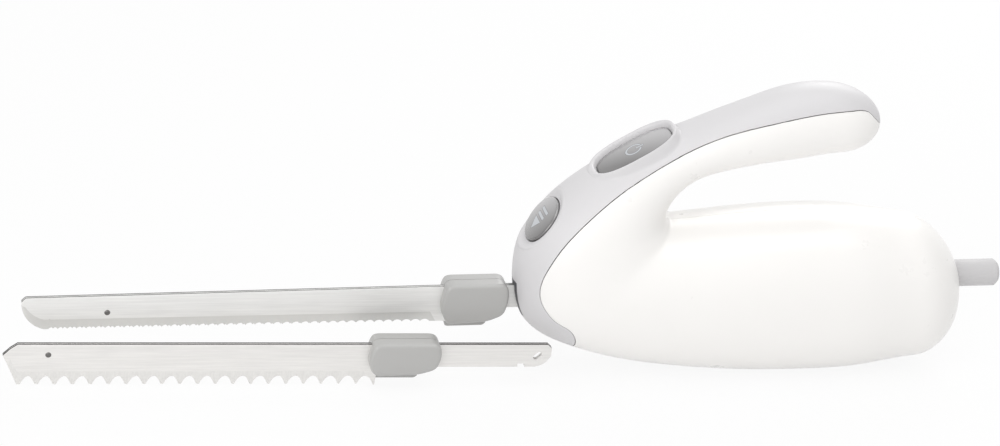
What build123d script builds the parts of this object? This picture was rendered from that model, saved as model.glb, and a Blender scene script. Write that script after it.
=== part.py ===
from build123d import *
import math
import os

# Electric carving knife with a second pair of blades, in millimetres.
# The knife is drawn in its blade frame: X runs along the blades towards the cord,
# Z is up, Y is across, and the blades enter the nose at the origin.
# Left is -Y and right is +Y, as the user holds the knife.

# Fits that many pieces share
slide_gap = 0.3
seat_gap = 0.05
bearing_gap = 0.04
overrun = 5

# Body
body_length = 236
body_height = 156
body_width = 70
wall = 2.2
seam_gap = 0.3
tip_depth = 26.5
rear_depth = 32
rear_droop_share = -0.03
nose_station = 8
nose_inset = 1.108
ridge_stations = (1, 12)
cap_angles = (86, 74, 60, 44, 25)
# Each station: centre x, centre z and half height as shares of the length and height,
# half width as a share of half the width, turn of the section in degrees, squareness
station_shares = (
    (0.658, 0.641, 0.1190, 0.500, 101, 0.57),
    (0.586, 0.628, 0.1230, 0.514, 105, 0.57),
    (0.508, 0.600, 0.1105, 0.514, 109, 0.57),
    (0.428, 0.565, 0.0970, 0.514, 114, 0.57),
    (0.350, 0.524, 0.0885, 0.543, 121, 0.57),
    (0.290, 0.478, 0.1070, 0.586, 136, 0.57),
    (0.236, 0.413, 0.1410, 0.643, 154, 0.57),
    (0.190, 0.338, 0.1950, 0.714, 173, 0.57),
    (0.164, 0.267, 0.2410, 0.771, 187, 0.57),
    (0.160, 0.194, 0.2680, 0.814, 201, 0.58),
    (0.175, 0.122, 0.2870, 0.843, 215, 0.59),
    (0.228, 0.078, 0.2790, 0.886, 229, 0.61),
    (0.311, 0.053, 0.2705, 0.929, 243, 0.63),
    (0.417, 0.042, 0.2710, 0.971, 254.5, 0.65),
    (0.529, 0.038, 0.2750, 1.000, 264, 0.66),
    (0.647, 0.038, 0.2780, 1.000, 271, 0.66),
    (0.761, 0.038, 0.2710, 0.971, 275, 0.65),
    (0.864, 0.037, 0.2520, 0.871, 277, 0.62),
)
# Seam between the cover and the housings, as shares of the length and height
seam_shares = (
    (0.205, -0.290),
    (0.185, -0.170),
    (0.148, -0.085),
    (0.1033, -0.0321),
    (0.0752, -0.0072),
    (0.0540, 0.0254),
    (0.0407, 0.0601),
    (0.0361, 0.0946),
    (0.0403, 0.1440),
    (0.0530, 0.1955),
    (0.0735, 0.2532),
    (0.1076, 0.3190),
    (0.154, 0.389),
    (0.246, 0.494),
    (0.337, 0.569),
    (0.428, 0.624),
    (0.521, 0.663),
    (0.614, 0.692),
    (0.687, 0.699),
    (0.727, 0.688),
    (0.750, 0.655),
    (0.790, 0.600),
)

# Flat on the belly that the knife rests on, and the nose down pitch at rest
belly_pitch = 1.0
belly_x_share = 0.593
belly_z_share = -0.231

# Blades, guards and tangs
blade_thick = 1.2
blade_split = 0.3
blade_reach = 209
blade_top = 10.2
blade_edge = 9.3
blade_taper_share = 0.9
tip_bow_shares = (0.27, 0.31)
scallop_pitch = 4.6
scallop_depth = 1.3
scallop_phase_share = 0.5
tip_round = 11
tip_corner = 2
guard_length = 33
guard_clear = 5.2
guard_top = 13.4
guard_base = 11
guard_half = 7.4
guard_round = 2
# Side view of a guard, as shares of its length and height
guard_front_shares = ((0.06, 0), (0, 0.35), (0, 0.86), (0.07, 1))
guard_rear_shares = ((0.92, 1), (1, 0.84), (1, 0.33), (0.94, 0.16), (0.68, 0))
foot_shares = (0.10, 0.72)
foot_drop = 5
foot_thick = 3.2
tang_height = 12.4
tang_reach = 50
tang_hole_inset = 7
tang_hole_radius = 1.3
tang_hole_slot = 2.4
tang_slant_long = 8
tang_slant_high = 4.5
notch_inset = 15
notch_width = 3.6
notch_depth = 1.8
rivet_inset = 42
rivet_radius = 1.2
rivet_head_radius = 2.3
rivet_head = 0.5

# Second pair of blades, for frozen food
spare_reach = 181.5
spare_height = 22.3
spare_tooth_pitch = 8.6
spare_tooth_depth = 4.8
spare_tooth_tip_share = 0.08
spare_gullet_share = 0.3
spare_phase_share = 0.12
spare_corner = 6
spare_slant = 7
spare_guard_length = 36.6
spare_guard_above = 4
spare_guard_below = 7
spare_tang_reach = 55
spare_rivet_inset = 22
spare_x = -179.6
spare_y = -23.1
spare_yaw = -1.465

# Drive
stroke = 6
wheel_x_share = 0.322
tooth_count = 24
tooth_module = 1
tooth_width = 1.1
tooth_rise = 0.8
tooth_root = 1.1
wheel_face = 2.8
axle_radius = 1.75
disc_rim = 0.75
link_thick = 3.1
link_lip = 1.8
yoke_rim = 2.1
worm_radius = 4
worm_throw = 1
worm_length = 24
mesh_gap = 0.3

# Gearbox frame
plate_thick = 2.4
plate_below = 14
plate_above = 24
frame_front = 12
rail_length = 34
rail_thick = 2
post_block = 5
bush_radius = 5

# Motor
shaft_radius = 2.5
shaft_overhang = 3
fan_radius = 20
fan_length = 9
fan_hub = 6
fan_blade = 1.2
fan_blades = 9
fan_space = 4
core_radius = 15
core_length = 30
core_slots = 9
core_slot_width = 2.2
core_slot_depth = 6
winding_length = 7
winding_radius = 13
winding_hub = 4
air_gap = 0.5
commutator_radius = 8.5
commutator_length = 12
commutator_space = 3
commutator_bars = 18
bar_slit = 0.5
stator_half_width = 20
stator_half_height = 19.5
stator_corner = 5
coil_inner = 11.2
coil_outer = 17
coil_low = 10.8
coil_mid = 13.8
coil_high = 16.5
coil_overhang = 5.5
coil_gap = 0.4
bracket_thick = 3
bracket_post_radius = 2.2
bracket_post_y = 17.6
bracket_post_z = 8
bracket_rim = 4
brush_wide = 6
brush_long = 4
brush_reach = 10
holder_wall = 0.8

# Buttons, whose middles lie at shares of the ridge line
power_ridge_share = 0.3795
power_half_long = 19.5
power_half_wide = 10.5
release_ridge_share = 0.637
release_half_long = 12
release_half_wide = 11.5
button_proud = 0.6
button_thick = 8
button_travel = 2
dish_margin = 3
dish_depth = 1.5
rim_rise = 1.6
rim_width = 2.2
well_wall = 1.8
well_depth = 12
stem_radius = 3
floor_thick = 1.6
spring_gap = 0.4
spring_wire = 0.7
spring_turns = 3
spring_pocket = 3.5
plunger_radius = 1.5
switch_long = 24
switch_deep = 9
release_stem = 16
lever_arm = 10
lever_reach = 28
lever_half_width = 4
lever_thick = 3
lever_pin = 1.5
ear_radius = 3.2

# Rear end: cord sleeve, clamp and terminals
sleeve_z = 10.6
sleeve_radius = 7
sleeve_bore = 3.6
sleeve_out = 21
sleeve_in = 14
sleeve_flange = 9
sleeve_flange_thick = 2.5
sleeve_chamfer = 1.8
clamp_length = 7
clamp_height = 14
clamp_half_width = 8
clamp_space = 3
terminal_length = 12
terminal_height = 8
terminal_half_width = 9
terminal_drop = 12
lead_radius = 0.9
lead_bend = 4

# Screws and posts
screw_radius = 1.5
screw_head_radius = 2.8
screw_head = 2
screw_length = 16
boss_radius = 4.4
pilot_gap = 0.1
post_radius = 4
screw_place_shares = ((0.60, 0.625), (0.265, 0.335), (0.225, -0.118), (0.885, -0.060), (0.47, -0.165))
bezel_half_width = 5.8
bezel_half_height = 9.3
bezel_depth = 11
bezel_slot_gap = 0.6

# The body is placed by its foremost station, so that the nose stays near the origin
nose_x_share, nose_half_share = station_shares[nose_station][0], station_shares[nose_station][2]
body_start = nose_inset + nose_half_share * body_height - nose_x_share * body_length


def x_at(share):
    """The place at a share of the body's length."""
    return body_start + share * body_length


# Values that follow from these
half_width = body_width / 2
throw = stroke / 2
drive_z = blade_top - tang_height / 2
blade_in = blade_split / 2
blade_out = blade_in + blade_thick
link_in = blade_out + slide_gap
link_out = link_in + link_thick
plate_in = link_out + slide_gap
plate_out = plate_in + plate_thick
link_front = bezel_depth + throw + slide_gap
wheel_x = x_at(wheel_x_share)
pitch_radius = tooth_module * tooth_count / 2
tip_radius = pitch_radius + tooth_rise
root_radius = pitch_radius - tooth_root
shaft_z = drive_z + pitch_radius + worm_radius + mesh_gap
disc_radius = axle_radius + throw + disc_rim
# The slides move in step with the wheel's angle, where the real discs swing as a sine,
# so the yokes are wider by the greatest difference
sine_share = math.sin(math.acos(2 / math.pi)) - math.acos(2 / math.pi) * 2 / math.pi
yoke_half_x = disc_radius + throw * sine_share + slide_gap
yoke_half_z = disc_radius + throw + slide_gap
socket_half_z = tang_height / 2 + slide_gap
link_half_z = socket_half_z + link_lip
guard_rear = -guard_clear
guard_front = guard_rear - guard_length
blade_tip = guard_front - blade_reach
belly_x = x_at(belly_x_share)
belly_z = belly_z_share * body_height
rear_start = x_at(station_shares[-1][0])
rear_end = rear_start + rear_depth

place = Rot(0, -belly_pitch, 0) * Pos(-belly_x, 0, -belly_z)
spare_place = Pos(spare_x, spare_y, 0) * Rot(0, 0, spare_yaw)


def block(x0, x1, y0, y1, z0, z1):
    """A box between two corners."""
    middle = Pos((x0 + x1) / 2, (y0 + y1) / 2, (z0 + z1) / 2)
    return middle * Box(abs(x1 - x0), abs(y1 - y0), abs(z1 - z0))


def rod_x(radius, x0, x1, y=0, z=0):
    """A round bar along X."""
    return Pos((x0 + x1) / 2, y, z) * Rot(0, 90, 0) * Cylinder(radius, abs(x1 - x0))


def rod_y(radius, y0, y1, x=0, z=0):
    """A round bar along Y."""
    return Pos(x, (y0 + y1) / 2, z) * Rot(90, 0, 0) * Cylinder(radius, abs(y1 - y0))


def plate_xz(face, y0, y1):
    """A plate whose face lies in X and Z, between two values of Y."""
    return Pos(0, max(y0, y1), 0) * extrude(Plane.XZ * face, abs(y1 - y0))


def both_sides(solid):
    """A solid and its mirror image across the middle plane, joined."""
    return solid + mirror(solid, about=Plane.XZ)


def put(name, location, *shapes):
    """Write a node of one or more separate solids."""
    solids = []
    for shape in shapes:
        solids += (location * shape).solids()
    node = solids[0] if len(solids) == 1 else Compound(children=solids)
    export_step(node, os.path.join("parts", name + ".step"))


def section(x, z, half_long, half_wide, turn, square):
    """One section of the body: four Bezier quarters in a plane across the body's curved middle line."""
    angle = math.radians(turn)
    along = (math.cos(angle), 0, math.sin(angle))
    across = (-math.sin(angle), 0, math.cos(angle))
    plane = Plane(origin=(x, 0, z), x_dir=along, z_dir=across)
    corners = ((1, 0), (0, 1), (-1, 0), (0, -1))
    edges = []
    for number in range(4):
        u0, v0 = corners[number]
        u3, v3 = corners[(number + 1) % 4]
        shares = ((u0, v0), (u0 + square * u3, v0 + square * v3))
        shares += ((u3 + square * u0, v3 + square * v0), (u3, v3))
        points = [Vector(u * half_long, v * half_wide) for u, v in shares]
        edges.append(Bezier(*[plane.from_local_coords(point) for point in points]))
    return Face(Wire(edges))


def body_form(inset):
    """The outer form of the body, taken in by an inset: lofted stations with a round cap at each end."""
    rows = []
    for x, z, half_long, half_wide, turn, square in station_shares:
        sizes = (x_at(x), z * body_height, half_long * body_height, half_wide * half_width)
        rows.append(sizes[:2] + (sizes[2] - inset, sizes[3] - inset, turn, square))
    sections = []
    for angle in cap_angles:
        x, z, half_long, half_wide, turn, square = rows[0]
        shrink = math.cos(math.radians(angle))
        ahead = (tip_depth - inset) * math.sin(math.radians(angle))
        sections.append(section(x + ahead, z, half_long * shrink, half_wide * shrink, turn, square))
    for row in rows:
        sections.append(section(*row))
    for angle in reversed(cap_angles):
        x, z, half_long, half_wide, turn, square = rows[-1]
        shrink = math.cos(math.radians(angle))
        ahead = (rear_depth - inset) * math.sin(math.radians(angle))
        z += rear_droop_share * ahead
        sections.append(section(x + ahead, z, half_long * shrink, half_wide * shrink, turn, square))
    return loft(sections)


def below_floor(level):
    """What lies below the belly flat, raised by a level."""
    deep = block(-body_length, body_length, -body_width, body_width, -body_height, level)
    return place.inverse() * deep


outer = body_form(0) - below_floor(0)
inner = body_form(wall) - below_floor(wall)
shell = outer - inner


def ridge_line():
    """The side view of the ridge over the grip, the arch and the nose, through the tops of the stations."""
    points = []
    for x, z, half_long, half_wide, turn, square in station_shares[slice(*ridge_stations)]:
        angle = math.radians(turn)
        reach = half_long * body_height
        points.append((x_at(x) + reach * math.cos(angle), z * body_height + reach * math.sin(angle)))
    return Spline(*points)


def button_plane(share):
    """A plane that touches the ridge under a button, with its X axis up the ridge and its normal outwards."""
    spot = ridge_line() @ share
    way = ridge_line() % share
    return Plane(origin=(spot.X, 0, spot.Y), x_dir=(-way.X, 0, -way.Y), z_dir=(way.Y, 0, -way.X))


def oval(plane, half_long, half_wide, low, high):
    """An oval block that stands along the plane's normal between two levels."""
    turned = 90 if half_wide > half_long else 0
    face = Rot(0, 0, turned) * Ellipse(max(half_long, half_wide), min(half_long, half_wide))
    return plane.location * Pos(0, 0, low) * extrude(face, high - low)


power_plane = button_plane(power_ridge_share)
release_plane = button_plane(release_ridge_share)
sunk = body_form(dish_depth)
proud = body_form(-button_proud)
raised = body_form(-rim_rise)


def seam_region():
    """The side view of everything in front of and above the seam."""
    points = [(x_at(x), z * body_height) for x, z in seam_shares]
    seam = Spline(*points)
    corners = [points[-1], (points[-1][0], body_height), (-body_length, body_height)]
    corners += [(-body_length, -body_height), (points[0][0], -body_height), points[0]]
    return make_face([seam, Polyline(*corners)])


# The cover's share of space, and the same moved back by the gap, both down and up
cover_side = plate_xz(seam_region(), -body_width, body_width)
cover_room = Pos(seam_gap, 0, -seam_gap) * cover_side + Pos(seam_gap, 0, seam_gap) * cover_side


def screw_places():
    """Where the housing screws lie, in X and Z."""
    return [(x_at(x), z * body_height) for x, z in screw_place_shares]


def post_places():
    """Posts that reach from the housings to what they carry: X, Z, inner Y and radius."""
    frame_z = drive_z - plate_below + post_radius
    rear_x = wheel_x + tip_radius + post_block
    middle_x = core_start + core_length / 2
    return (
        (frame_front + rail_length - post_radius, frame_z, plate_out, post_radius),
        (rear_x - post_radius, frame_z, plate_out, post_radius),
        (middle_x, shaft_z, stator_half_width, post_radius),
        (terminal_x + terminal_length / 2, -terminal_drop, terminal_half_width, post_radius),
        (clamp_x + clamp_length / 2, sleeve_z, clamp_half_width, post_radius),
    )


# Places along the shaft, from the gearbox to the cord
front_block_x = wheel_x - tip_radius - slide_gap - post_block
rear_block_x = wheel_x + tip_radius + slide_gap
fan_x = rear_block_x + post_block + fan_space
core_start = fan_x + fan_length + fan_space + winding_length
core_end = core_start + core_length
commutator_x = core_end + winding_length + commutator_space
bracket_x = commutator_x + commutator_length + commutator_space
terminal_x = bracket_x + bracket_thick + post_block
sleeve_x = rear_end - sleeve_in
clamp_x = sleeve_x - clamp_space - clamp_length


def housing(side):
    """One housing half, with its screw bosses and carrying posts. Side is -1 for left and 1 for right."""
    half = block(-body_length, body_length * 2, 0, side * body_width, -body_height, body_height)
    solid = shell & half
    for x, z in screw_places():
        solid += rod_y(boss_radius, 0, side * half_width, x, z) & outer
    for x, z, inner_y, radius in post_places():
        solid += rod_y(radius, side * (inner_y + seat_gap), side * half_width, x, z) & outer
    hole = screw_radius + pilot_gap
    seat = screw_length / 2
    for x, z in screw_places():
        if side > 0:
            solid -= rod_y(hole, 0, side * half_width, x, z)
            solid -= rod_y(screw_head_radius + pilot_gap, side * seat, side * half_width, x, z)
        else:
            solid -= rod_y(hole, 0, side * (seat + pilot_gap), x, z)
    solid -= rod_x(sleeve_radius + seat_gap, sleeve_x - overrun, rear_end + overrun, 0, sleeve_z)
    flange_end = sleeve_x + sleeve_flange_thick
    solid -= rod_x(sleeve_flange + seat_gap, sleeve_x - seat_gap, flange_end + seat_gap, 0, sleeve_z)
    return solid - cover_side - cover_room


def button_well(plane, half_long, half_wide):
    """The sleeve under the cover that a button slides in."""
    side = slide_gap + well_wall
    return oval(plane, half_long + side, half_wide + side, -well_depth, overrun)


def button_dish(plane, half_long, half_wide):
    """The shallow dish round a button, down to the sunk form."""
    side = slide_gap + dish_margin
    return oval(plane, half_long + side, half_wide + side, -well_depth, well_depth) - sunk


def button_hole(plane, half_long, half_wide):
    """The hole that a button moves in."""
    return oval(plane, half_long + slide_gap, half_wide + slide_gap, -well_depth - overrun, well_depth)


def top_cover():
    """The saddle that wraps the nose, the arch and the top of the grip, with both button dishes."""
    solid = shell & cover_side
    power = (power_plane, power_half_long, power_half_wide)
    release = (release_plane, release_half_long, release_half_wide)
    side = slide_gap + dish_margin + rim_width
    rim = oval(power_plane, power_half_long + side, power_half_wide + side, -well_depth, well_depth)
    solid += (rim & raised) - inner
    for opening in (power, release):
        solid += button_well(*opening)
        solid -= button_dish(*opening)
        solid -= button_hole(*opening)
    return solid + release_floor() - bezel_space(seat_gap)


def release_floor():
    """The floor of the release button's well, with a hole for the stem."""
    half_long = release_half_long + slide_gap + well_wall
    half_wide = release_half_wide + slide_gap + well_wall
    low = -well_depth - floor_thick
    floor = oval(release_plane, half_long, half_wide, low, -well_depth)
    return floor - oval(release_plane, stem_radius + slide_gap, stem_radius + slide_gap, low, -well_depth)


def bezel_space(gap):
    """The space of the socket bezel in the nose, with a gap all round."""
    half_y = bezel_half_width + gap
    half_z = bezel_half_height + gap
    return block(-body_length, bezel_depth, -half_y, half_y, drive_z - half_z, drive_z + half_z)


def socket_bezel():
    """The frame in the nose that the tangs pass through."""
    half_y = blade_out + bezel_slot_gap
    half_z = tang_height / 2 + bezel_slot_gap
    slot = block(-body_length, body_length, -half_y, half_y, drive_z - half_z, drive_z + half_z)
    return (bezel_space(0) & outer) - slot


def cord_sleeve():
    """The sleeve at the rear end, with its inner flange and its bore."""
    solid = rod_x(sleeve_radius, sleeve_x, rear_end + sleeve_out, 0, sleeve_z)
    tip = solid.edges().sort_by(Axis.X)[-1]
    solid = chamfer(tip, sleeve_chamfer)
    solid += rod_x(sleeve_flange, sleeve_x, sleeve_x + sleeve_flange_thick, 0, sleeve_z)
    return solid - rod_x(sleeve_bore, sleeve_x - overrun, rear_end + sleeve_out + overrun, 0, sleeve_z)


def screw(x, z):
    """One housing screw, with its head on the right."""
    half = screw_length / 2
    return rod_y(screw_radius, -half, half, x, z) + rod_y(screw_head_radius, half, half + screw_head, x, z)


def cord_clamp():
    """The block that grips the cord behind the sleeve."""
    half = clamp_height / 2
    x1 = clamp_x + clamp_length
    solid = block(clamp_x, x1, -clamp_half_width, clamp_half_width, sleeve_z - half, sleeve_z + half)
    return solid - rod_x(sleeve_bore, clamp_x - overrun, x1 + overrun, 0, sleeve_z)


def terminal_block():
    """The block where the cord's wires meet the motor's leads."""
    half = terminal_height / 2
    x1 = terminal_x + terminal_length
    wide = terminal_half_width
    return block(terminal_x, x1, -wide, wide, -terminal_drop - half, -terminal_drop + half)


def lead_wire(side):
    """A lead from the terminal block up to a brush holder."""
    start_y = side * terminal_half_width / 2
    end_y = side * (commutator_radius + brush_reach - lead_bend)
    start_z = terminal_height / 2 - terminal_drop + seat_gap
    bend_z = start_z + lead_bend * 2
    holder_base = shaft_z - brush_wide / 2 - holder_wall - seat_gap
    start_x = terminal_x + lead_bend
    end_x = commutator_x + commutator_length / 2
    points = ((start_x, start_y, start_z), (start_x, start_y, bend_z))
    points += ((end_x, end_y, bend_z), (end_x, end_y, holder_base))
    path = FilletPolyline(*points, radius=lead_bend)
    ring = Plane(origin=points[0], z_dir=(0, 0, 1)) * Circle(lead_radius)
    return sweep(ring, path)


def frame_plate():
    """A side plate of the gearbox frame, with the ear that carries the release lever."""
    rear_x = rear_block_x + post_block
    solid = block(frame_front, rear_x, plate_in, plate_out, drive_z - plate_below, drive_z + plate_above)
    pivot_x, pivot_z = lever_pivot()
    solid += block(pivot_x - ear_radius, pivot_x + ear_radius, plate_in, plate_out, drive_z, pivot_z)
    solid += rod_y(ear_radius, plate_in, plate_out, pivot_x, pivot_z)
    solid -= rod_y(lever_pin + bearing_gap, plate_in - overrun, plate_out + overrun, pivot_x, pivot_z)
    return solid - rod_y(axle_radius + seat_gap, plate_in - overrun, plate_out + overrun, wheel_x, drive_z)


def gearbox_frame():
    """Two side plates, the rails that guide the links, and the blocks that carry the shaft."""
    solid = both_sides(frame_plate())
    for side in (-1, 1):
        near = drive_z + side * (link_half_z + slide_gap)
        far = near + side * rail_thick
        solid += block(frame_front, frame_front + rail_length, -plate_in, plate_in, near, far)
    for x in (front_block_x, rear_block_x):
        low = drive_z + link_half_z + slide_gap
        solid += block(x, x + post_block, -plate_in, plate_in, low, drive_z + plate_above)
        solid -= rod_x(bush_radius + seat_gap, x - overrun, x + post_block + overrun, 0, shaft_z)
    return solid


def bush(x, length):
    """A bush that the shaft turns in."""
    solid = rod_x(bush_radius, x, x + length, 0, shaft_z)
    return solid - rod_x(shaft_radius + bearing_gap, x - overrun, x + length + overrun, 0, shaft_z)


def worm_wheel():
    """The wheel, with straight teeth and a gap between two teeth under the worm."""
    points = []
    pitch_angle = 2 * math.pi / tooth_count
    half_root = tooth_width * root_radius / pitch_radius
    for tooth in range(tooth_count):
        middle = math.pi / 2 + (tooth + 1 / 2) * pitch_angle
        root_turn = half_root * 3 / 4 / root_radius
        tip_turn = tooth_width / 3 / tip_radius
        flanks = ((root_radius, -root_turn), (tip_radius, -tip_turn))
        flanks += ((tip_radius, tip_turn), (root_radius, root_turn))
        for radius, turn in flanks:
            points.append((radius * math.cos(middle + turn), radius * math.sin(middle + turn)))
    face = make_face(Polyline(*points, close=True))
    half = wheel_face / 2
    solid = Pos(wheel_x, 0, drive_z) * plate_xz(face, -half, half)
    return solid - rod_y(axle_radius + bearing_gap, -body_width, body_width, wheel_x, drive_z)


def eccentric(side):
    """A disc on the wheel. The left one stands up at rest and the right one down."""
    z = drive_z - side * throw
    solid = rod_y(disc_radius, side * wheel_face / 2, side * link_out, wheel_x, z)
    return solid - rod_y(axle_radius + bearing_gap, -body_width, body_width, wheel_x, drive_z)


def drive_link():
    """The right drive link: a yoke round its disc, and a socket for a tang at the front."""
    yoke_x = yoke_half_x + yoke_rim
    yoke_z = yoke_half_z + yoke_rim
    stop_x = tang_reach + slide_gap
    low = drive_z - link_half_z
    high = drive_z + link_half_z
    solid = block(link_front, wheel_x, link_in, link_out, low, high)
    solid += block(wheel_x - yoke_x, wheel_x + yoke_x, link_in, link_out, drive_z - yoke_z, drive_z + yoke_z)
    window_low = drive_z - yoke_half_z
    window_high = drive_z + yoke_half_z
    solid -= block(wheel_x - yoke_half_x, wheel_x + yoke_half_x, 0, body_width, window_low, window_high)
    solid += block(link_front, stop_x + link_lip, blade_in, link_in, low, drive_z - socket_half_z)
    solid += block(link_front, stop_x + link_lip, blade_in, link_in, drive_z + socket_half_z, high)
    return solid + block(stop_x, stop_x + link_lip, blade_in, link_in, low, high)


def rotor_shaft():
    """The motor's shaft with its worm: a round core that runs off centre and winds once for each tooth."""
    end_x = bracket_x + bracket_thick + shaft_overhang
    solid = rod_x(shaft_radius, front_block_x - shaft_overhang, end_x, 0, shaft_z)
    lead = math.pi * tooth_module
    start_x = wheel_x - worm_length / 2
    start_turn = -360 * worm_length / 2 / lead
    ring = Plane(origin=(0, 0, -worm_throw), x_dir=(0, 1, 0), z_dir=(1, 0, 0))
    circle = Wire.make_circle(worm_radius, ring)
    turn = 360 * worm_length / lead
    way = (worm_length, 0, 0)
    worm = Solid.extrude_linear_with_rotation(circle, center=(0, 0, 0), normal=way, angle=turn)
    return solid + Pos(start_x, 0, shaft_z) * Rot(start_turn, 0, 0) * worm


def rotor_core():
    """The laminated core with its slots."""
    solid = rod_x(core_radius, core_start, core_end, 0, shaft_z)
    deep = core_radius - core_slot_depth
    half = core_slot_width / 2
    for slot in range(core_slots):
        cut = block(core_start, core_end, -half, half, deep, core_radius + overrun)
        solid -= Pos(0, 0, shaft_z) * Rot(360 * slot / core_slots, 0, 0) * cut
    return solid - rod_x(shaft_radius + seat_gap, core_start, core_end, 0, shaft_z)


def rotor_windings():
    """The winding ends at both faces of the core, joined through its slots."""
    solid = rod_x(winding_radius, core_start - winding_length, core_start, 0, shaft_z)
    solid += rod_x(winding_radius, core_end, core_end + winding_length, 0, shaft_z)
    solid -= rod_x(winding_hub, core_start - winding_length, core_end + winding_length, 0, shaft_z)
    deep = core_radius - core_slot_depth + seat_gap
    half = core_slot_width / 2 - seat_gap
    for slot in range(core_slots):
        bar = block(core_start, core_end, -half, half, deep, winding_radius)
        solid += Pos(0, 0, shaft_z) * Rot(360 * slot / core_slots, 0, 0) * bar
    return solid


def commutator():
    """The commutator, slit between its bars."""
    end_x = commutator_x + commutator_length
    solid = rod_x(commutator_radius, commutator_x, end_x, 0, shaft_z)
    half = bar_slit / 2
    deep = commutator_radius - bar_slit * 2
    for bar in range(commutator_bars):
        cut = block(commutator_x, end_x, -half, half, deep, commutator_radius + overrun)
        solid -= Pos(0, 0, shaft_z) * Rot(360 * bar / commutator_bars, 0, 0) * cut
    return solid - rod_x(shaft_radius + seat_gap, commutator_x, end_x, 0, shaft_z)


def cooling_fan():
    """A hub and a disc that carry straight blades."""
    end_x = fan_x + fan_length
    solid = rod_x(fan_hub, fan_x, end_x, 0, shaft_z) + rod_x(fan_radius, end_x - fan_blade, end_x, 0, shaft_z)
    half = fan_blade / 2
    for blade in range(fan_blades):
        vane = block(fan_x, end_x, -half, half, fan_hub - fan_blade, fan_radius)
        solid += Pos(0, 0, shaft_z) * Rot(360 * blade / fan_blades, 0, 0) * vane
    return solid - rod_x(shaft_radius + seat_gap, fan_x, end_x, 0, shaft_z)


def field_stator():
    """The field laminations: a rounded frame with a round bore and four windows for the coils."""
    low = shaft_z - stator_half_height
    high = shaft_z + stator_half_height
    solid = block(core_start, core_end, -stator_half_width, stator_half_width, low, high)
    solid = fillet(solid.edges().filter_by(Axis.X), stator_corner)
    solid -= rod_x(core_radius + air_gap, core_start, core_end, 0, shaft_z)
    for side_y in (-1, 1):
        for side_z in (-1, 1):
            y0 = side_y * (coil_inner - coil_gap)
            y1 = side_y * (coil_outer + coil_gap)
            z0 = shaft_z + side_z * (coil_low - coil_gap)
            z1 = shaft_z + side_z * (coil_high + coil_gap)
            solid -= block(core_start, core_end, y0, y1, z0, z1)
    return solid


def field_coil(side):
    """One field coil: two straight sides in the windows and an end turn over each face."""
    high = shaft_z + side * coil_high
    mid = shaft_z + side * coil_mid
    x0 = core_start - coil_overhang
    x1 = core_end + coil_overhang
    width = coil_outer - coil_inner
    ring = block(x0, x1, -coil_outer, coil_outer, mid, high)
    x2 = core_start - coil_gap
    x3 = core_end + coil_gap
    ring -= block(x2, x3, -coil_inner, coil_inner, mid, high)
    for hand in (-1, 1):
        y0 = hand * coil_inner
        low = shaft_z + side * coil_low
        ring += block(core_start, core_end, y0, y0 + hand * width, low, mid)
    return ring


def motor_bracket():
    """The rear bracket: a plate that holds the bush, on four posts from the stator."""
    x1 = bracket_x + bracket_thick
    half = bracket_post_y + bracket_rim
    tall = bracket_post_z + bracket_rim
    solid = block(bracket_x, x1, -half, half, shaft_z - tall, shaft_z + tall)
    for side_y in (-1, 1):
        for side_z in (-1, 1):
            z = shaft_z + side_z * bracket_post_z
            solid += rod_x(bracket_post_radius, core_end, bracket_x, side_y * bracket_post_y, z)
    return solid - rod_x(bush_radius + seat_gap, bracket_x, x1, 0, shaft_z)


def brush_box(side, grow):
    """The space of a carbon brush beside the commutator, grown by a wall."""
    middle = commutator_x + commutator_length / 2
    half_x = brush_long / 2 + grow
    half_z = brush_wide / 2 + grow
    y0 = side * (commutator_radius + slide_gap + grow)
    y1 = side * (commutator_radius + brush_reach)
    return block(middle - half_x, middle + half_x, y0, y1, shaft_z - half_z, shaft_z + half_z)


def brush_holder(side):
    """A brush holder, with the arm that ties it to the rear bracket."""
    middle = commutator_x + commutator_length / 2
    half_z = brush_wide / 2 + holder_wall
    y1 = side * (commutator_radius + brush_reach)
    y0 = y1 - side * bracket_post_radius
    arm = block(middle, bracket_x, y0, y1, shaft_z - half_z, shaft_z + half_z)
    return brush_box(side, holder_wall) + arm - brush_box(side, seat_gap)


def button(plane, half_long, half_wide, core):
    """A button that follows the body's form, a little proud of it, with a pocket under it for its spring."""
    solid = oval(plane, half_long, half_wide, -button_thick, well_depth) & proud
    radius = core + spring_gap * 2 + spring_wire
    return solid - oval(plane, radius, radius, -button_thick, spring_pocket - button_thick)


def button_spring(plane, core):
    """A button's spring round a core, drawn at the length that it has when the button is pressed."""
    height = well_depth - button_thick - button_travel + spring_pocket - seat_gap * 2
    pitch = (height - spring_wire) / spring_turns
    coil = Helix(pitch, height - spring_wire, core + spring_gap + spring_wire / 2)
    wire = Plane(origin=coil @ 0, z_dir=coil % 0) * Circle(spring_wire / 2)
    return plane.location * Pos(0, 0, seat_gap + spring_wire / 2 - well_depth) * sweep(wire, coil)


def power_switch():
    """The switch that closes the well under the power button, with its plunger inside the spring."""
    wide = power_half_wide + slide_gap + well_wall
    top = -well_depth - seat_gap
    solid = power_plane.location * Pos(0, 0, top - switch_deep / 2) * Box(switch_long, wide * 2, switch_deep)
    reach = spring_pocket - button_thick - button_travel - slide_gap
    return solid + oval(power_plane, plunger_radius, plunger_radius, top - seat_gap, reach)


def release_button_form():
    """The release button with its stem, which reaches down to the lever."""
    stem = oval(release_plane, stem_radius, stem_radius, -release_stem, -button_travel)
    return button(release_plane, release_half_long, release_half_wide, stem_radius) + stem


def lever_level():
    """How far the lever's pin lies under the release button's top."""
    return release_stem + slide_gap + lever_thick / 2


def lever_pivot():
    """The release lever's pivot, in X and Z."""
    spot = release_plane.from_local_coords(Vector(lever_arm, 0, -lever_level()))
    return spot.X, spot.Z


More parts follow.
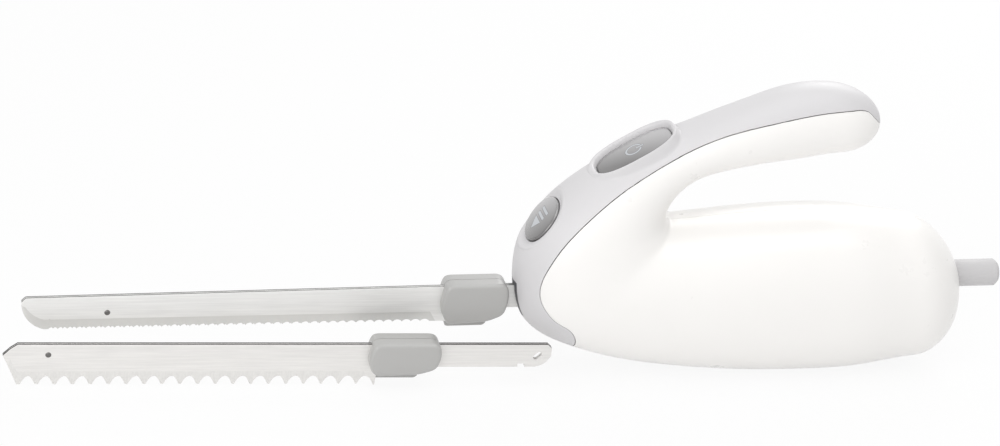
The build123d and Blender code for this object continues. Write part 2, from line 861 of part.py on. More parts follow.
def release_lever():
    """The lever that the release button tips: an arm under the stem and an arm down to the sockets."""
    half = lever_thick / 2
    long = lever_arm + stem_radius
    arm = Pos(lever_arm - long / 2, 0, -lever_level()) * Box(long, lever_half_width * 2, lever_thick)
    x, z = lever_pivot()
    solid = release_plane.location * arm
    solid += block(x - half, x + half, -lever_half_width, lever_half_width, z - lever_reach, z)
    solid += rod_y(half, -lever_half_width, lever_half_width, x, z)
    return solid + rod_y(lever_pin, -plate_out, plate_out, x, z)


def blade_face(phase):
    """The side view of a mounted blade: tang, straight back, round tip and a scalloped edge."""
    top_tip = blade_top * blade_taper_share
    edge_tip = -blade_edge * blade_taper_share
    tang_low = blade_top - tang_height
    step_x = (guard_front + guard_rear) / 2
    mid_x = blade_tip + tip_bow_shares[0] * tip_round
    mid_z = edge_tip + tip_bow_shares[1] * (top_tip - edge_tip)
    first_x = blade_tip + tip_round
    edge_end = guard_front - scallop_pitch
    count = round((edge_end - first_x) / scallop_pitch) - 1
    start = first_x + phase * scallop_pitch
    pitch = (edge_end - start) / count
    lines = tang_end(tang_reach, blade_top)
    lines.append(Line(lines[-1] @ 1, (guard_front, blade_top)))
    lines.append(Line(lines[-1] @ 1, (blade_tip + tip_corner, top_tip)))
    lines.append(Line(lines[-1] @ 1, (blade_tip, top_tip - tip_corner)))
    lines.append(ThreePointArc(lines[-1] @ 1, (mid_x, mid_z), (first_x, edge_tip)))
    if phase:
        lines.append(Line(lines[-1] @ 1, (start, edge_z(start))))
    for step in range(count):
        x0 = start + step * pitch
        middle = x0 + pitch / 2
        arc_end = (x0 + pitch, edge_z(x0 + pitch))
        lines.append(ThreePointArc(lines[-1] @ 1, (middle, edge_z(middle) + scallop_depth), arc_end))
    lines.append(Line(lines[-1] @ 1, (step_x, edge_z(guard_front))))
    lines.append(Line(lines[-1] @ 1, (step_x, tang_low)))
    lines.append(Line(lines[-1] @ 1, lines[0] @ 0))
    return make_face(lines)


def tang_end(reach, high):
    """The rear end of a tang: a slant below and a small corner above."""
    low = high - tang_height
    lines = [Line((reach - tang_slant_long, low), (reach, low + tang_slant_high))]
    lines.append(Line(lines[-1] @ 1, (reach, high - tip_corner)))
    lines.append(Line(lines[-1] @ 1, (reach - tip_corner, high)))
    return lines


def edge_z(x):
    """The height of the cutting edge at a place along the blade."""
    share = (guard_front - x) / (guard_front - blade_tip)
    return -blade_edge * (1 - share * (1 - blade_taper_share))


def tang_cuts(reach, high):
    """The slanted hole near a tang's end and the notch in its lower edge."""
    low = high - tang_height
    x = reach - tang_hole_inset
    hole = Pos(x, (high + low) / 2) * Rot(0, 0, 45) * SlotCenterToCenter(tang_hole_slot, tang_hole_radius * 2)
    notch = Pos(reach - notch_inset, low) * Rectangle(notch_width, notch_depth * 2)
    return hole + notch


def rivet_hole(x, z, slotted):
    """The rivet's hole in one blade, or the slot in the other that lets them slide."""
    if slotted:
        return Pos(x, z) * SlotCenterToCenter(stroke * 2, (rivet_radius + slide_gap) * 2)
    return Pos(x, z) * Circle(rivet_radius + seat_gap)


def rivet(x, z):
    """The rivet through both blades, fixed in the left one."""
    solid = rod_y(rivet_radius, -blade_out, blade_out + slide_gap, x, z)
    solid += rod_y(rivet_head_radius, -blade_out - rivet_head, -blade_out, x, z)
    return solid + rod_y(rivet_head_radius, blade_out + slide_gap, blade_out + slide_gap + rivet_head, x, z)


def guard(x0, x1, low, high, blade, footed):
    """The right half guard, rounded outside and moulded on its blade, with or without a foot lip inside."""
    outline_shares = guard_front_shares + guard_rear_shares
    points = [(x0 + x * (x1 - x0), low + z * (high - low)) for x, z in outline_shares]
    face = make_face(Polyline(*points, close=True))
    face = fillet(face.vertices(), guard_round)
    solid = plate_xz(face, blade_in, guard_half)
    outer_face = solid.faces().sort_by(Axis.Y)[-1]
    solid = fillet(outer_face.edges(), guard_round)
    if footed:
        front, back = [x0 + x * (x1 - x0) for x in foot_shares]
        solid += block(front, back, blade_in, blade_in + foot_thick, low - foot_drop, (low + high) / 2)
    return solid - blade


def spare_face(phase):
    """The side view of a spare blade: tang, straight back, slanted tip and large teeth."""
    tip_x = -spare_guard_length - spare_reach
    tang_low = spare_height - tang_height
    step_x = -spare_guard_length / 2
    first_x = tip_x + spare_slant
    last_x = -spare_guard_length - spare_tooth_pitch
    count = round((last_x - first_x) / spare_tooth_pitch)
    pitch = (last_x - first_x) / (count + phase)
    flat = pitch * spare_tooth_tip_share
    gullet = pitch - flat
    lines = tang_end(spare_tang_reach, spare_height)
    lines.append(Line(lines[-1] @ 1, (tip_x + spare_corner, spare_height)))
    lines.append(Line(lines[-1] @ 1, (tip_x, spare_height - spare_corner)))
    lines.append(Line(lines[-1] @ 1, (first_x, 0)))
    lines.append(Line(lines[-1] @ 1, (first_x + flat + phase * pitch, 0)))
    # A gullet is a Bezier arch, whose top is at three quarters of the height of its middle points
    crown = spare_tooth_depth * 4 / 3
    for tooth in range(count):
        x0 = (lines[-1] @ 1).X
        middles = ((x0 + gullet * spare_gullet_share, crown), (x0 + gullet * (1 - spare_gullet_share), crown))
        lines.append(Bezier((x0, 0), *middles, (x0 + gullet, 0)))
        lines.append(Line(lines[-1] @ 1, (x0 + pitch, 0)))
    lines.append(Line(lines[-1] @ 1, ((lines[-1] @ 1).X + flat, spare_guard_below)))
    lines.append(Line(lines[-1] @ 1, (step_x, spare_guard_below)))
    lines.append(Line(lines[-1] @ 1, (step_x, tang_low)))
    lines.append(Line(lines[-1] @ 1, lines[0] @ 0))
    return make_face(lines)


os.makedirs("parts", exist_ok=True)

# Housings, cover and what closes them
put("left_housing", place, housing(-1))
put("right_housing", place, housing(1))
put("top_cover", place, top_cover())
put("blade_socket_bezel", place, socket_bezel())
put("cord_sleeve", place, cord_sleeve())
put("cord_clamp", place, cord_clamp())
put("terminal_block", place, terminal_block())
put("lead_wires", place, lead_wire(-1), lead_wire(1))
put("housing_screws", place, *[screw(x, z) for x, z in screw_places()])

# Gearbox
put("gearbox_frame", place, gearbox_frame())
put("wheel_axle", place, rod_y(axle_radius, -plate_out, plate_out, wheel_x, drive_z))
put("worm_wheel", place, worm_wheel())
put("eccentric_discs", place, eccentric(-1), eccentric(1))
put("right_drive_link", place, drive_link())
put("left_drive_link", place, mirror(drive_link(), about=Plane.XZ))

# Motor
put("rotor_shaft", place, rotor_shaft())
put("rotor_core", place, rotor_core())
put("rotor_windings", place, rotor_windings())
put("commutator", place, commutator())
put("cooling_fan", place, cooling_fan())
put("motor_stator", place, field_stator())
put("field_coils", place, field_coil(-1), field_coil(1))
put("gearbox_bushes", place, bush(front_block_x, post_block), bush(rear_block_x, post_block))
put("rear_bush", place, bush(bracket_x, bracket_thick))
put("motor_bracket", place, motor_bracket())
put("brush_holders", place, brush_holder(-1), brush_holder(1))
put("carbon_brushes", place, brush_box(-1, 0), brush_box(1, 0))

# Buttons
put("power_button", place, button(power_plane, power_half_long, power_half_wide, plunger_radius))
put("power_button_spring", place, button_spring(power_plane, plunger_radius))
put("power_switch", place, power_switch())
put("release_button", place, release_button_form())
put("release_button_spring", place, button_spring(release_plane, stem_radius))
put("release_lever", place, release_lever())

# Mounted blades
rivet_x = blade_tip + rivet_inset
rivet_z = (blade_top - blade_edge) / 2
right_cuts = tang_cuts(tang_reach, blade_top) + rivet_hole(rivet_x, rivet_z, True)
left_cuts = tang_cuts(tang_reach, blade_top) + rivet_hole(rivet_x, rivet_z, False)
right_blade = plate_xz(blade_face(0) - right_cuts, blade_in, blade_out)
left_blade = plate_xz(blade_face(scallop_phase_share) - left_cuts, -blade_out, -blade_in)
guard_sides = (guard_front, guard_rear, -guard_base, guard_top)
put("right_blade", place, right_blade)
put("left_blade", place, left_blade)
put("right_blade_guard", place, guard(*guard_sides, right_blade, True))
left_guard = guard(*guard_sides, mirror(left_blade, about=Plane.XZ), False)
put("left_blade_guard", place, mirror(left_guard, about=Plane.XZ))
put("blade_rivet", place, rivet(rivet_x, rivet_z))

# Spare blades
spare_rivet_x = -spare_guard_length - spare_reach + spare_rivet_inset
spare_rivet_z = spare_height * 3 / 4
spare_right_cuts = tang_cuts(spare_tang_reach, spare_height) + rivet_hole(spare_rivet_x, spare_rivet_z, True)
spare_left_cuts = tang_cuts(spare_tang_reach, spare_height) + rivet_hole(spare_rivet_x, spare_rivet_z, False)
spare_right = plate_xz(spare_face(0) - spare_right_cuts, blade_in, blade_out)
spare_left = plate_xz(spare_face(spare_phase_share) - spare_left_cuts, -blade_out, -blade_in)
spare_sides = (-spare_guard_length, 0, spare_guard_below, spare_height + spare_guard_above)
put("spare_right_blade", spare_place, spare_right)
put("spare_left_blade", spare_place, spare_left)
put("spare_right_guard", spare_place, guard(*spare_sides, spare_right, True))
spare_left_guard = guard(*spare_sides, mirror(spare_left, about=Plane.XZ), False)
put("spare_left_guard", spare_place, mirror(spare_left_guard, about=Plane.XZ))
put("spare_blade_rivet", spare_place, rivet(spare_rivet_x, spare_rivet_z))
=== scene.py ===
import math

import bmesh
import bpy
import numpy as np
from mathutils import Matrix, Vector


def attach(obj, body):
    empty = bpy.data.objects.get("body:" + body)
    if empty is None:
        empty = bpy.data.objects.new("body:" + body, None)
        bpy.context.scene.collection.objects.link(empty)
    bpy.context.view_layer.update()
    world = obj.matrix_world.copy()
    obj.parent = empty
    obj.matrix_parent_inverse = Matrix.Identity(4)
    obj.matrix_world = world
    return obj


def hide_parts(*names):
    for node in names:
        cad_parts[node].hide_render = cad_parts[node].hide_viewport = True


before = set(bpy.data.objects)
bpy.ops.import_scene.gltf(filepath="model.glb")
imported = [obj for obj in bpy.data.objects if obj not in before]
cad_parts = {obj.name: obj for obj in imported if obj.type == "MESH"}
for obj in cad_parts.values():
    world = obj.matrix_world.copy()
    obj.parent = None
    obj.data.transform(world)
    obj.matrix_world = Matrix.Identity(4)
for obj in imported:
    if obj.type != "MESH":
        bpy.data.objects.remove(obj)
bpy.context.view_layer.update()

# Sizes, in millimetres

body_length = 236
body_height = 156
half_width = 35
wall = 2.2
seam_gap = 0.3
tip_depth = 26.5
rear_depth = 32
rear_droop = -0.03
# centre x, centre z and half height as shares of the length and height, half width, turn, squareness
stations = (
    (0.658, 0.641, 0.1190, 0.500, 101, 0.57),
    (0.586, 0.628, 0.1230, 0.514, 105, 0.57),
    (0.508, 0.600, 0.1105, 0.514, 109, 0.57),
    (0.428, 0.565, 0.0970, 0.514, 114, 0.57),
    (0.350, 0.524, 0.0885, 0.543, 121, 0.57),
    (0.290, 0.478, 0.1070, 0.586, 136, 0.57),
    (0.236, 0.413, 0.1410, 0.643, 154, 0.57),
    (0.190, 0.338, 0.1950, 0.714, 173, 0.57),
    (0.164, 0.267, 0.2410, 0.771, 187, 0.57),
    (0.160, 0.194, 0.2680, 0.814, 201, 0.58),
    (0.175, 0.122, 0.2870, 0.843, 215, 0.59),
    (0.228, 0.078, 0.2790, 0.886, 229, 0.61),
    (0.311, 0.053, 0.2705, 0.929, 243, 0.63),
    (0.417, 0.042, 0.2710, 0.971, 254.5, 0.65),
    (0.529, 0.038, 0.2750, 1.000, 264, 0.66),
    (0.647, 0.038, 0.2780, 1.000, 271, 0.66),
    (0.761, 0.038, 0.2710, 0.971, 275, 0.65),
    (0.864, 0.037, 0.2520, 0.871, 277, 0.62),
)
seam_places = (
    (0.118, -0.290),
    (0.124, -0.170),
    (0.122, -0.080),
    (0.1033, -0.0321),
    (0.0752, -0.0072),
    (0.0540, 0.0254),
    (0.0407, 0.0601),
    (0.0361, 0.0946),
    (0.0403, 0.1440),
    (0.0530, 0.1955),
    (0.0735, 0.2532),
    (0.1076, 0.3190),
    (0.154, 0.389),
    (0.246, 0.494),
    (0.337, 0.569),
    (0.428, 0.624),
    (0.521, 0.663),
    (0.614, 0.692),
    (0.687, 0.699),
    (0.727, 0.688),
    (0.750, 0.655),
    (0.790, 0.600),
)
belly_pitch = math.radians(1)
belly_x = 0.593 * body_length
belly_z = -0.231 * body_height

# each button's plane touches the ridge; x, z: its middle; turn: its slope; long, wide: half sizes;
# level: how far its top lies under the plane; tilt: how far it leans from it; reach: how far its dish
# reaches at the sides; stretch: how much further it does at the ends; full: how full its outline is;
# cut: the levels between which its place is cut out of the cover
power = {"x": 54.37, "z": 85.21, "turn": 26.983, "long": 20.6, "wide": 12.6}
power |= {"level": -2.7, "tilt": 0.06, "reach": 3.4, "stretch": 1.4, "full": 2.7, "cut": (-16, 14)}
release = {"x": 7.955, "z": 48.702, "turn": 54.247, "long": 12.2, "wide": 13.2}
release |= {"level": -3.3, "tilt": 0.0, "reach": 2.5, "stretch": 2.7, "full": 2.15, "cut": (-14, 12)}
slide_gap = 0.3
button_dome = 0.9
button_thick = 8

blade_thick = 1.2
blade_in = 0.15
blade_reach = 209
blade_top = 10.2
blade_edge = 9.3
taper = 0.9
scallop_pitch = 4.6
scallop_depth = 1.3
tip_round = 11
tip_corner = 2
guard_front = -38.2
guard_rear = -3.8
guard_low = -8.8
guard_top = 13.4
guard_half = 7.4
blade_tip = guard_front - blade_reach
tang_height = 12.4
tang_reach = 50
rivet_inset = 42

spare_x = -179.6
spare_y = -23.1
spare_yaw = math.radians(-1.465)
spare_reach = 181.5
spare_height = 22.3
spare_guard = 36.6
spare_tang = 55
spare_pitch = 8.75
spare_tooth = 4.8
spare_rivet_inset = 22

sleeve_z = 10.6
sleeve_radius = 7
sleeve_bore = 3.6
sleeve_in = 14
sleeve_out = 21
sleeve_play = 0.35
flange_radius = 9
flange_thick = 2.5
rear_end = 0.864 * body_length + rear_depth
drive_z = 4

# the opening for the tangs: its ends, half width and half height
opening_front = -20
opening_rear = 8
opening_half = 5.95
opening_rise = 9.45

# the screws' holes and bosses, from the parting outwards, and how far a boss ends under the outside
screw_places = ((0.60, 0.625), (0.265, 0.335), (0.225, -0.118), (0.885, -0.060), (0.47, -0.165))
screw_hole = 2.9
screw_stem = 1.7
boss_radius = 3.9
boss_start = 6
boss_floor = 2
boss_cover = 1.4
past_wall = 45
screw_grid = (500, 120)
screw_near = 8

# the grids: spacing along the body, columns over the outside and the inside of a shell, and points round a
# button, a half circle and a rounded corner
row_spacing = 1.6
outer_share = np.linspace(0, 1, 61)
inner_share = np.linspace(0, 1, 31)
button_round = 144
half_round = 14
corner_round = 7
# heights in a blade's map that stand for its flat and its back
flat_mark = 40
back_mark = 60


# Frames and meshes


def on_knife(points):
    """Points of the knife's own frame, in millimetres, turned by the belly pitch into the row's metres."""
    p = np.asarray(points, dtype=float)
    dx = p[..., 0] - belly_x
    dz = p[..., 2] - belly_z
    c, s = math.cos(belly_pitch), math.sin(belly_pitch)
    return np.stack([dx * c - dz * s, p[..., 1], dx * s + dz * c], -1) / 1000


def on_spare(points):
    """Points of the spare pair's frame, in millimetres, yawed and moved into the row's metres."""
    p = np.asarray(points, dtype=float)
    c, s = math.cos(spare_yaw), math.sin(spare_yaw)
    x = p[..., 0] * c - p[..., 1] * s + spare_x
    y = p[..., 0] * s + p[..., 1] * c + spare_y
    return np.stack([x, y, p[..., 2]], -1) / 1000


def ring_faces(rows, columns):
    """Quads of a grid of points, row after row, whose last column joins the first."""
    i = np.arange(rows - 1)[:, None]
    j = np.arange(columns)[None, :]
    k = (j + 1) % columns
    quads = np.stack([i * columns + j, i * columns + k, (i + 1) * columns + k, (i + 1) * columns + j], -1)
    return quads.reshape(-1, 4)


def volume(points, faces):
    """Signed volume of a closed set of quads: the sum of its tetrahedra from the origin."""
    a, b, c, d = (points[faces[:, n]] for n in range(4))
    return (np.cross(a, b) * c).sum() + (np.cross(a, c) * d).sum()


def new_object(name, parts, places=None):
    """An object from closed grids: parts is a list of (points, quads). Quads are turned to point outwards,
    and seams and poles are welded. Each point's place, if there is one, goes into a map."""
    points, faces = [], []
    count = 0
    for p, f in parts:
        p = np.asarray(p).reshape(-1, 3)
        if volume(p, f) < 0:
            f = f[:, ::-1]
        points.append(p)
        faces.append(f + count)
        count += len(p)
    mesh = bpy.data.meshes.new(name)
    mesh.from_pydata(np.concatenate(points).tolist(), [], np.concatenate(faces).tolist())
    if places is not None:
        layer = mesh.uv_layers.new(name="places")
        loops = np.empty(len(mesh.loops), dtype=np.int32)
        mesh.loops.foreach_get("vertex_index", loops)
        layer.data.foreach_set("uv", np.asarray(places, dtype=np.float32).reshape(-1, 2)[loops].ravel())
    piece = bpy.data.objects.new(name, mesh)
    bpy.context.scene.collection.objects.link(piece)
    weld(piece)
    return piece


def make(name, parts, body, material, stands_for=(), sharp=40, places=None):
    """A finished piece from closed grids, which rides on a body and may stand for solids."""
    piece = new_object(name, parts, places)
    finish_mesh(piece, material, sharp)
    if stands_for:
        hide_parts(*stands_for)
    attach(piece, body)
    return piece


def weld(piece):
    """Merges the doubled points at seams and poles, and drops the faces that this leaves without area."""
    closest = 2e-6
    work = bmesh.new()
    work.from_mesh(piece.data)
    bmesh.ops.remove_doubles(work, verts=work.verts, dist=closest)
    bmesh.ops.dissolve_degenerate(work, edges=work.edges, dist=closest / 2)
    work.to_mesh(piece.data)
    work.free()


def finish_mesh(piece, material, sharp):
    """Smooth shading that breaks at edges sharper than an angle, and the piece's material."""
    mesh = piece.data
    mesh.polygons.foreach_set("use_smooth", np.ones(len(mesh.polygons), dtype=bool))
    mesh.set_sharp_from_angle(angle=math.radians(sharp))
    mesh.materials.clear()
    mesh.materials.append(material)


def drop_sheets(piece):
    """Takes away a thin sheet left inside a closed form, from its free edge inwards."""
    deepest = 6
    work = bmesh.new()
    work.from_mesh(piece.data)
    for _ in range(deepest):
        loose = {face for edge in work.edges if len(edge.link_faces) == 1 for face in edge.link_faces}
        bmesh.ops.delete(work, geom=list(loose), context="FACES")
    work.to_mesh(piece.data)
    work.free()


def cut(piece, cutters, material, sharp):
    """Cuts closed solids, each given as (points, quads), out of a piece."""
    for solid in cutters:
        cutter = new_object("cutter", [solid])
        modifier = piece.modifiers.new("cut", "BOOLEAN")
        modifier.operation = "DIFFERENCE"
        modifier.solver = "EXACT"
        modifier.object = cutter
        graph = bpy.context.evaluated_depsgraph_get()
        result = bpy.data.meshes.new_from_object(piece.evaluated_get(graph))
        piece.modifiers.remove(modifier)
        piece.data = result
        bpy.data.objects.remove(cutter)
    drop_sheets(piece)
    finish_mesh(piece, material, sharp)


def prism(outline, low, high, place):
    """A closed prism: an outline of points (a, b) between two levels, put into the world by place(points)."""
    outline = np.asarray(outline)
    centre = outline.mean(axis=0)
    rows = []
    for scale, level in ((0, low), (1, low), (1, high), (0, high)):
        ab = centre + (outline - centre) * scale
        rows.append(np.column_stack([ab, np.full(len(ab), level)]))
    points = place(np.array(rows).reshape(-1, 3))
    return points, ring_faces(4, len(outline))


def turned(profile, count, place):
    """A lathed form: profile points (radius, height) carried round a circle, closed where the radius is 0."""
    profile = np.asarray(profile, dtype=float)
    t = np.linspace(0, 2 * math.pi, count, endpoint=False)
    x = profile[:, :1] * np.cos(t)
    y = profile[:, :1] * np.sin(t)
    z = profile[:, 1:] + 0 * x
    return place(np.stack([x, y, z], -1).reshape(-1, 3)), ring_faces(len(profile), count)


def spline(knots, values, at):
    """A natural cubic spline: cubic pieces through the values at the knots, with the same slope and bend
    where they meet."""
    knots = np.asarray(knots, dtype=float)
    values = np.asarray(values, dtype=float)
    n = len(knots)
    step = np.diff(knots)
    slope = np.diff(values, axis=0) / step[:, None]
    system = np.eye(n)
    inner = np.arange(1, n - 1)
    system[inner, inner - 1] = step[:-1]
    system[inner, inner] = 2 * (step[:-1] + step[1:])
    system[inner, inner + 1] = step[1:]
    right = np.zeros_like(values)
    right[1:-1] = 6 * np.diff(slope, axis=0)
    bend = np.linalg.solve(system, right)
    at = np.asarray(at, dtype=float)
    k = np.clip(np.searchsorted(knots, at) - 1, 0, n - 2)
    h = step[k][..., None]
    a = (knots[k + 1][..., None] - at[..., None]) / h
    b = 1 - a
    curve = a * values[k] + b * values[k + 1]
    return curve + ((a**3 - a) * bend[k] + (b**3 - b) * bend[k + 1]) * h * h / 6


# The body's form


def body_table():
    """Knots and rows of the body's sections: x, z, half height, half width, turn, squareness, shrink, reach.

    The stations are followed, at both ends, by a quarter of an ellipse: sizes shrink with the cosine of an
    angle while the centre moves on with its sine. Two rows run on past each pole, so that the curves pass
    through it. Between the stations a knot counts the way from centre to centre and a part of the turn."""
    cap_angle = 15
    cap_rows = 8
    turn_part = 8
    rows = []
    for x, z, high, wide, turn, square in stations:
        sizes = (x * body_length, z * body_height, high * body_height, wide * half_width)
        rows.append((*sizes, turn, square, 1, 0))

    def cap_row(end, ahead, rise, c, s):
        return (end[0] + ahead, end[1] + rise, end[2] * c, end[3] * c, end[4], end[5], c, s)

    front, rear = [], []
    for row in range(1, cap_rows + 1):
        angle = math.radians(cap_angle * row)
        c, s = math.cos(angle), math.sin(angle)
        front.append(cap_row(rows[0], tip_depth * s, 0, c, s))
        rear.append(cap_row(rows[-1], rear_depth * s, rear_droop * (rear_depth * s), c, s))
    step = math.radians(cap_angle)
    centres = np.array(rows)[:, :2]
    turns = np.radians(np.array(rows)[:, 4])
    gaps = np.hypot(*np.diff(centres, axis=0).T) + turn_part * np.abs(np.diff(turns))
    knots = np.concatenate([[0], np.cumsum(gaps)])
    before = -tip_depth * step * np.arange(cap_rows, 0, -1)
    after = knots[-1] + rear_depth * step * np.arange(1, cap_rows + 1)
    poles = (-tip_depth * math.pi / 2, knots[-1] + rear_depth * math.pi / 2)
    return np.concatenate([before, knots, after]), np.array(front[::-1] + rows + rear), poles


body_knots, body_rows, body_poles = body_table()


def body_surface(q, v, inset=0.0):
    """The body's surface at q along it and v round it. v runs from 0 at the ridge over the side to 2, and is
    negative on the left. A section is four cubic Bezier quarters: (1-t)^3 + 3(1-t)^2 t + 3k(1-t)t^2 one way
    and the same turned round the other way. The inset shrinks the sections alike and draws both caps in.
    The belly is flat where the knife rests."""
    q, v, inset = np.broadcast_arrays(np.asarray(q, float), np.asarray(v, float), np.asarray(inset, float))
    row = spline(body_knots, body_rows, q)
    x, z, high, wide, turn, square, shrink, reach = (row[..., n] for n in range(8))
    side = np.where(v < 0, -1.0, 1.0)
    t = np.clip(np.abs(v), 0, 2)
    back = t > 1
    t = np.where(back, t - 1, t)
    m = 1 - t
    near = m**3 + 3 * m * m * t + 3 * square * m * t * t
    far = 3 * square * m * m * t + 3 * m * t * t + t**3
    up = np.where(back, -far, near) * (high - inset * shrink)
    out = np.where(back, near, far) * (wide - inset * shrink) * side
    angle = np.radians(turn)
    px = x - inset * reach + up * np.cos(angle)
    pz = z + up * np.sin(angle)
    c, s = math.cos(belly_pitch), math.sin(belly_pitch)
    level = (px - belly_x) * s + (pz - belly_z) * c
    short = np.maximum(inset - level, 0)
    return np.stack([px - short * s, out, pz + short * c], -1)


fine_steps = 900
seam_points = np.array(seam_places) * (body_length, body_height)
seam_knots = np.concatenate([[0], np.cumsum(np.hypot(*np.diff(seam_points, axis=0).T))])
seam_line = spline(seam_knots, seam_points, np.linspace(0, seam_knots[-1], fine_steps))
seam_way = np.gradient(seam_line, axis=0)
seam_way /= np.hypot(*seam_way.T)[:, None]


def seam_side(x, z):
    """Distance of side view points from the seam: positive on the cover's side, in front of it and above it.
    The points are taken in batches, to spare memory."""
    batch = 4000
    shape = np.shape(x)
    p = np.stack([np.ravel(x), np.ravel(z)], -1)
    out = np.empty(len(p))
    for start in range(0, len(p), batch):
        d = p[start : start + batch, None] - seam_line[None]
        near = np.argmin((d**2).sum(-1), axis=1)
        d = d[np.arange(len(near)), near]
        w = seam_way[near]
        cross = w[:, 0] * d[:, 1] - w[:, 1] * d[:, 0]
        out[start : start + batch] = np.sign(cross) * np.hypot(*d.T)
    return out.reshape(shape)


def seam_turn(q, gap):
    """Where round each section the seam lies, as v: the first place where its distance falls below gap."""
    steps = 80
    v = np.linspace(0, 2, steps + 1)
    p = body_surface(q[:, None], v[None, :])
    d = seam_side(p[..., 0], p[..., 2]) - gap
    out = np.full(len(q), 2.0)
    below = d <= 0
    some = below.any(axis=1)
    first = np.argmax(below, axis=1)
    k = np.clip(first, 1, steps)
    i = np.arange(len(q))
    d0, d1 = d[i, k - 1], d[i, k]
    cross = v[k - 1] + (v[k] - v[k - 1]) * d0 / np.where(d0 == d1, 1, d0 - d1)
    out[some] = np.where(first == 0, 0.0, cross)[some]
    return out


def closer_rows(start, end, fine_ends):
    """Places between start and end, evenly spaced, with closer ones near the ends that fine_ends names."""
    rows = np.linspace(start, end, int(round((end - start) / row_spacing)) + 1)
    extra = row_spacing * np.array([0.02, 0.08, 0.18, 0.32, 0.5, 0.75, 1.25, 1.5, 1.75, 2.25, 2.5])
    more = [rows]
    if 0 in fine_ends:
        more.append(start + extra)
    if 1 in fine_ends:
        more.append(end - extra)
    return np.unique(np.concatenate(more).round(5))


def skin(q, outer_v, inner_v):
    """A closed shell from rings: each ring runs over the outside at outer_v and back over the inside at
    inner_v, with a small chamfer at both outer edges and a closer column beside it."""
    chamfer = 0.25
    beside = 0.12
    outer = body_surface(q[:, None], outer_v)
    inner = body_surface(q[:, None], inner_v[:, ::-1], wall)
    edge_a = outer[:, :1] + (inner[:, -1:] - outer[:, :1]) * chamfer / wall
    edge_b = outer[:, -1:] + (inner[:, :1] - outer[:, -1:]) * chamfer / wall
    soft_a = outer[:, :1] + (outer[:, 1:2] - outer[:, :1]) * beside
    soft_b = outer[:, -1:] + (outer[:, -2:-1] - outer[:, -1:]) * beside
    ring = np.concatenate([edge_a, soft_a, outer[:, 1:-1], soft_b, edge_b, inner], axis=1)
    rows, columns = ring.shape[:2]
    return on_knife(ring), ring_faces(rows, columns)


# Finishes


class Value:
    """A shader socket. Arithmetic on it adds Math nodes, so a pattern reads as its formula."""

    def __init__(self, finish, socket):
        self.finish = finish
        self.socket = socket

    def math(self, operation, a, b):
        return self.finish.node("ShaderNodeMath", {"operation": operation}, {0: a, 1: b})["Value"]

    def __add__(self, other):
        return self.math("ADD", self, other)

    def __sub__(self, other):
        return self.math("SUBTRACT", self, other)

    def __rsub__(self, other):
        return self.math("SUBTRACT", other, self)

    def __mul__(self, other):
        return self.math("MULTIPLY", self, other)

    def __lt__(self, other):
        return self.math("LESS_THAN", self, other)

    def __gt__(self, other):
        return self.math("GREATER_THAN", self, other)

    def __abs__(self):
        return self.math("ABSOLUTE", self, 0)


class Outputs:
    """The outputs of a node, by name, as values."""

    def __init__(self, finish, node):
        self.finish = finish
        self.node = node

    def __getitem__(self, name):
        return Value(self.finish, self.node.outputs[name])

    def colour(self):
        return Value(self.finish, self.node.outputs[2])


class Finish:
    """A procedural material or world, built from expressions and one method that adds any node."""

    def __init__(self, name, world=None):
        self.material = world or bpy.data.materials.new(name)
        self.material.use_nodes = True
        self.tree = self.material.node_tree
        self.tree.nodes.clear()

    def node(self, kind, settings=None, sockets=None):
        """Adds a node: its settings first, then the values or links of its sockets."""
        node = self.tree.nodes.new(kind)
        for name, value in (settings or {}).items():
            setattr(node, name, value)
        for name, value in (sockets or {}).items():
            socket = node.inputs[name]
            if isinstance(value, Value):
                self.tree.links.new(value.socket, socket)
            else:
                socket.default_value = value
        return Outputs(self, node)

    def place(self, scale=(1, 1, 1), turn=(0, 0, 0)):
        """Object coordinates, turned and scaled."""
        spot = self.node("ShaderNodeTexCoord")["Object"]
        sockets = {"Vector": spot, "Scale": scale, "Rotation": turn}
        return self.node("ShaderNodeMapping", {}, sockets)["Vector"]

    def noise(self, scale, detail=3, rough=0.5, stretch=(1, 1, 1)):
        """Noise from 0 to 1, about 0.5. The scale counts its waves in a metre."""
        sockets = {"Vector": self.place(stretch), "Scale": scale, "Detail": detail, "Roughness": rough}
        return self.node("ShaderNodeTexNoise", {}, sockets)["Fac"]

    def parts(self, vector):
        """The parts of a vector, by name."""
        return self.node("ShaderNodeSeparateXYZ", {}, {0: vector})

    def mapped(self):
        """The two places that a piece's own map holds."""
        parts = self.parts(self.node("ShaderNodeUVMap", {"uv_map": "places"})["UV"])
        return parts["X"], parts["Y"]

    def between(self, factor, low, high):
        """A colour between two colours, of which the low one may be a value."""
        low = low if isinstance(low, Value) else (*low, 1)
        sockets = {0: factor, 6: low, 7: (*high, 1)}
        return self.node("ShaderNodeMix", {"data_type": "RGBA"}, sockets).colour()

    def ramp(self, factor, low, high, start=0.0, end=1.0):
        """A value that runs from start to end while the factor runs from low to high."""
        sockets = {"Value": factor, "From Min": low, "From Max": high, "To Min": start, "To Max": end}
        return self.node("ShaderNodeMapRange", {"clamp": True}, sockets)["Result"]

    def bump(self, height, depth):
        """A normal bumped by a height between 0 and 1 times a depth in millimetres."""
        return self.node("ShaderNodeBump", {}, {"Height": height, "Distance": depth / 1000})["Normal"]

    def surface(self, colour, rough, metallic, normal, coat=0.0, coat_rough=0.03):
        """The shader, with its constants set on its own sockets."""
        sockets = {"Base Color": colour, "Roughness": rough, "Metallic": metallic, "Normal": normal}
        sockets |= {"Coat Weight": coat, "Coat Roughness": coat_rough}
        shader = self.node("ShaderNodeBsdfPrincipled", {}, sockets)["BSDF"]
        self.node("ShaderNodeOutputMaterial", {}, {"Surface": shader})
        return self.material


def darker(colour, share):
    """A colour times a share."""
    return tuple(c * share for c in colour)


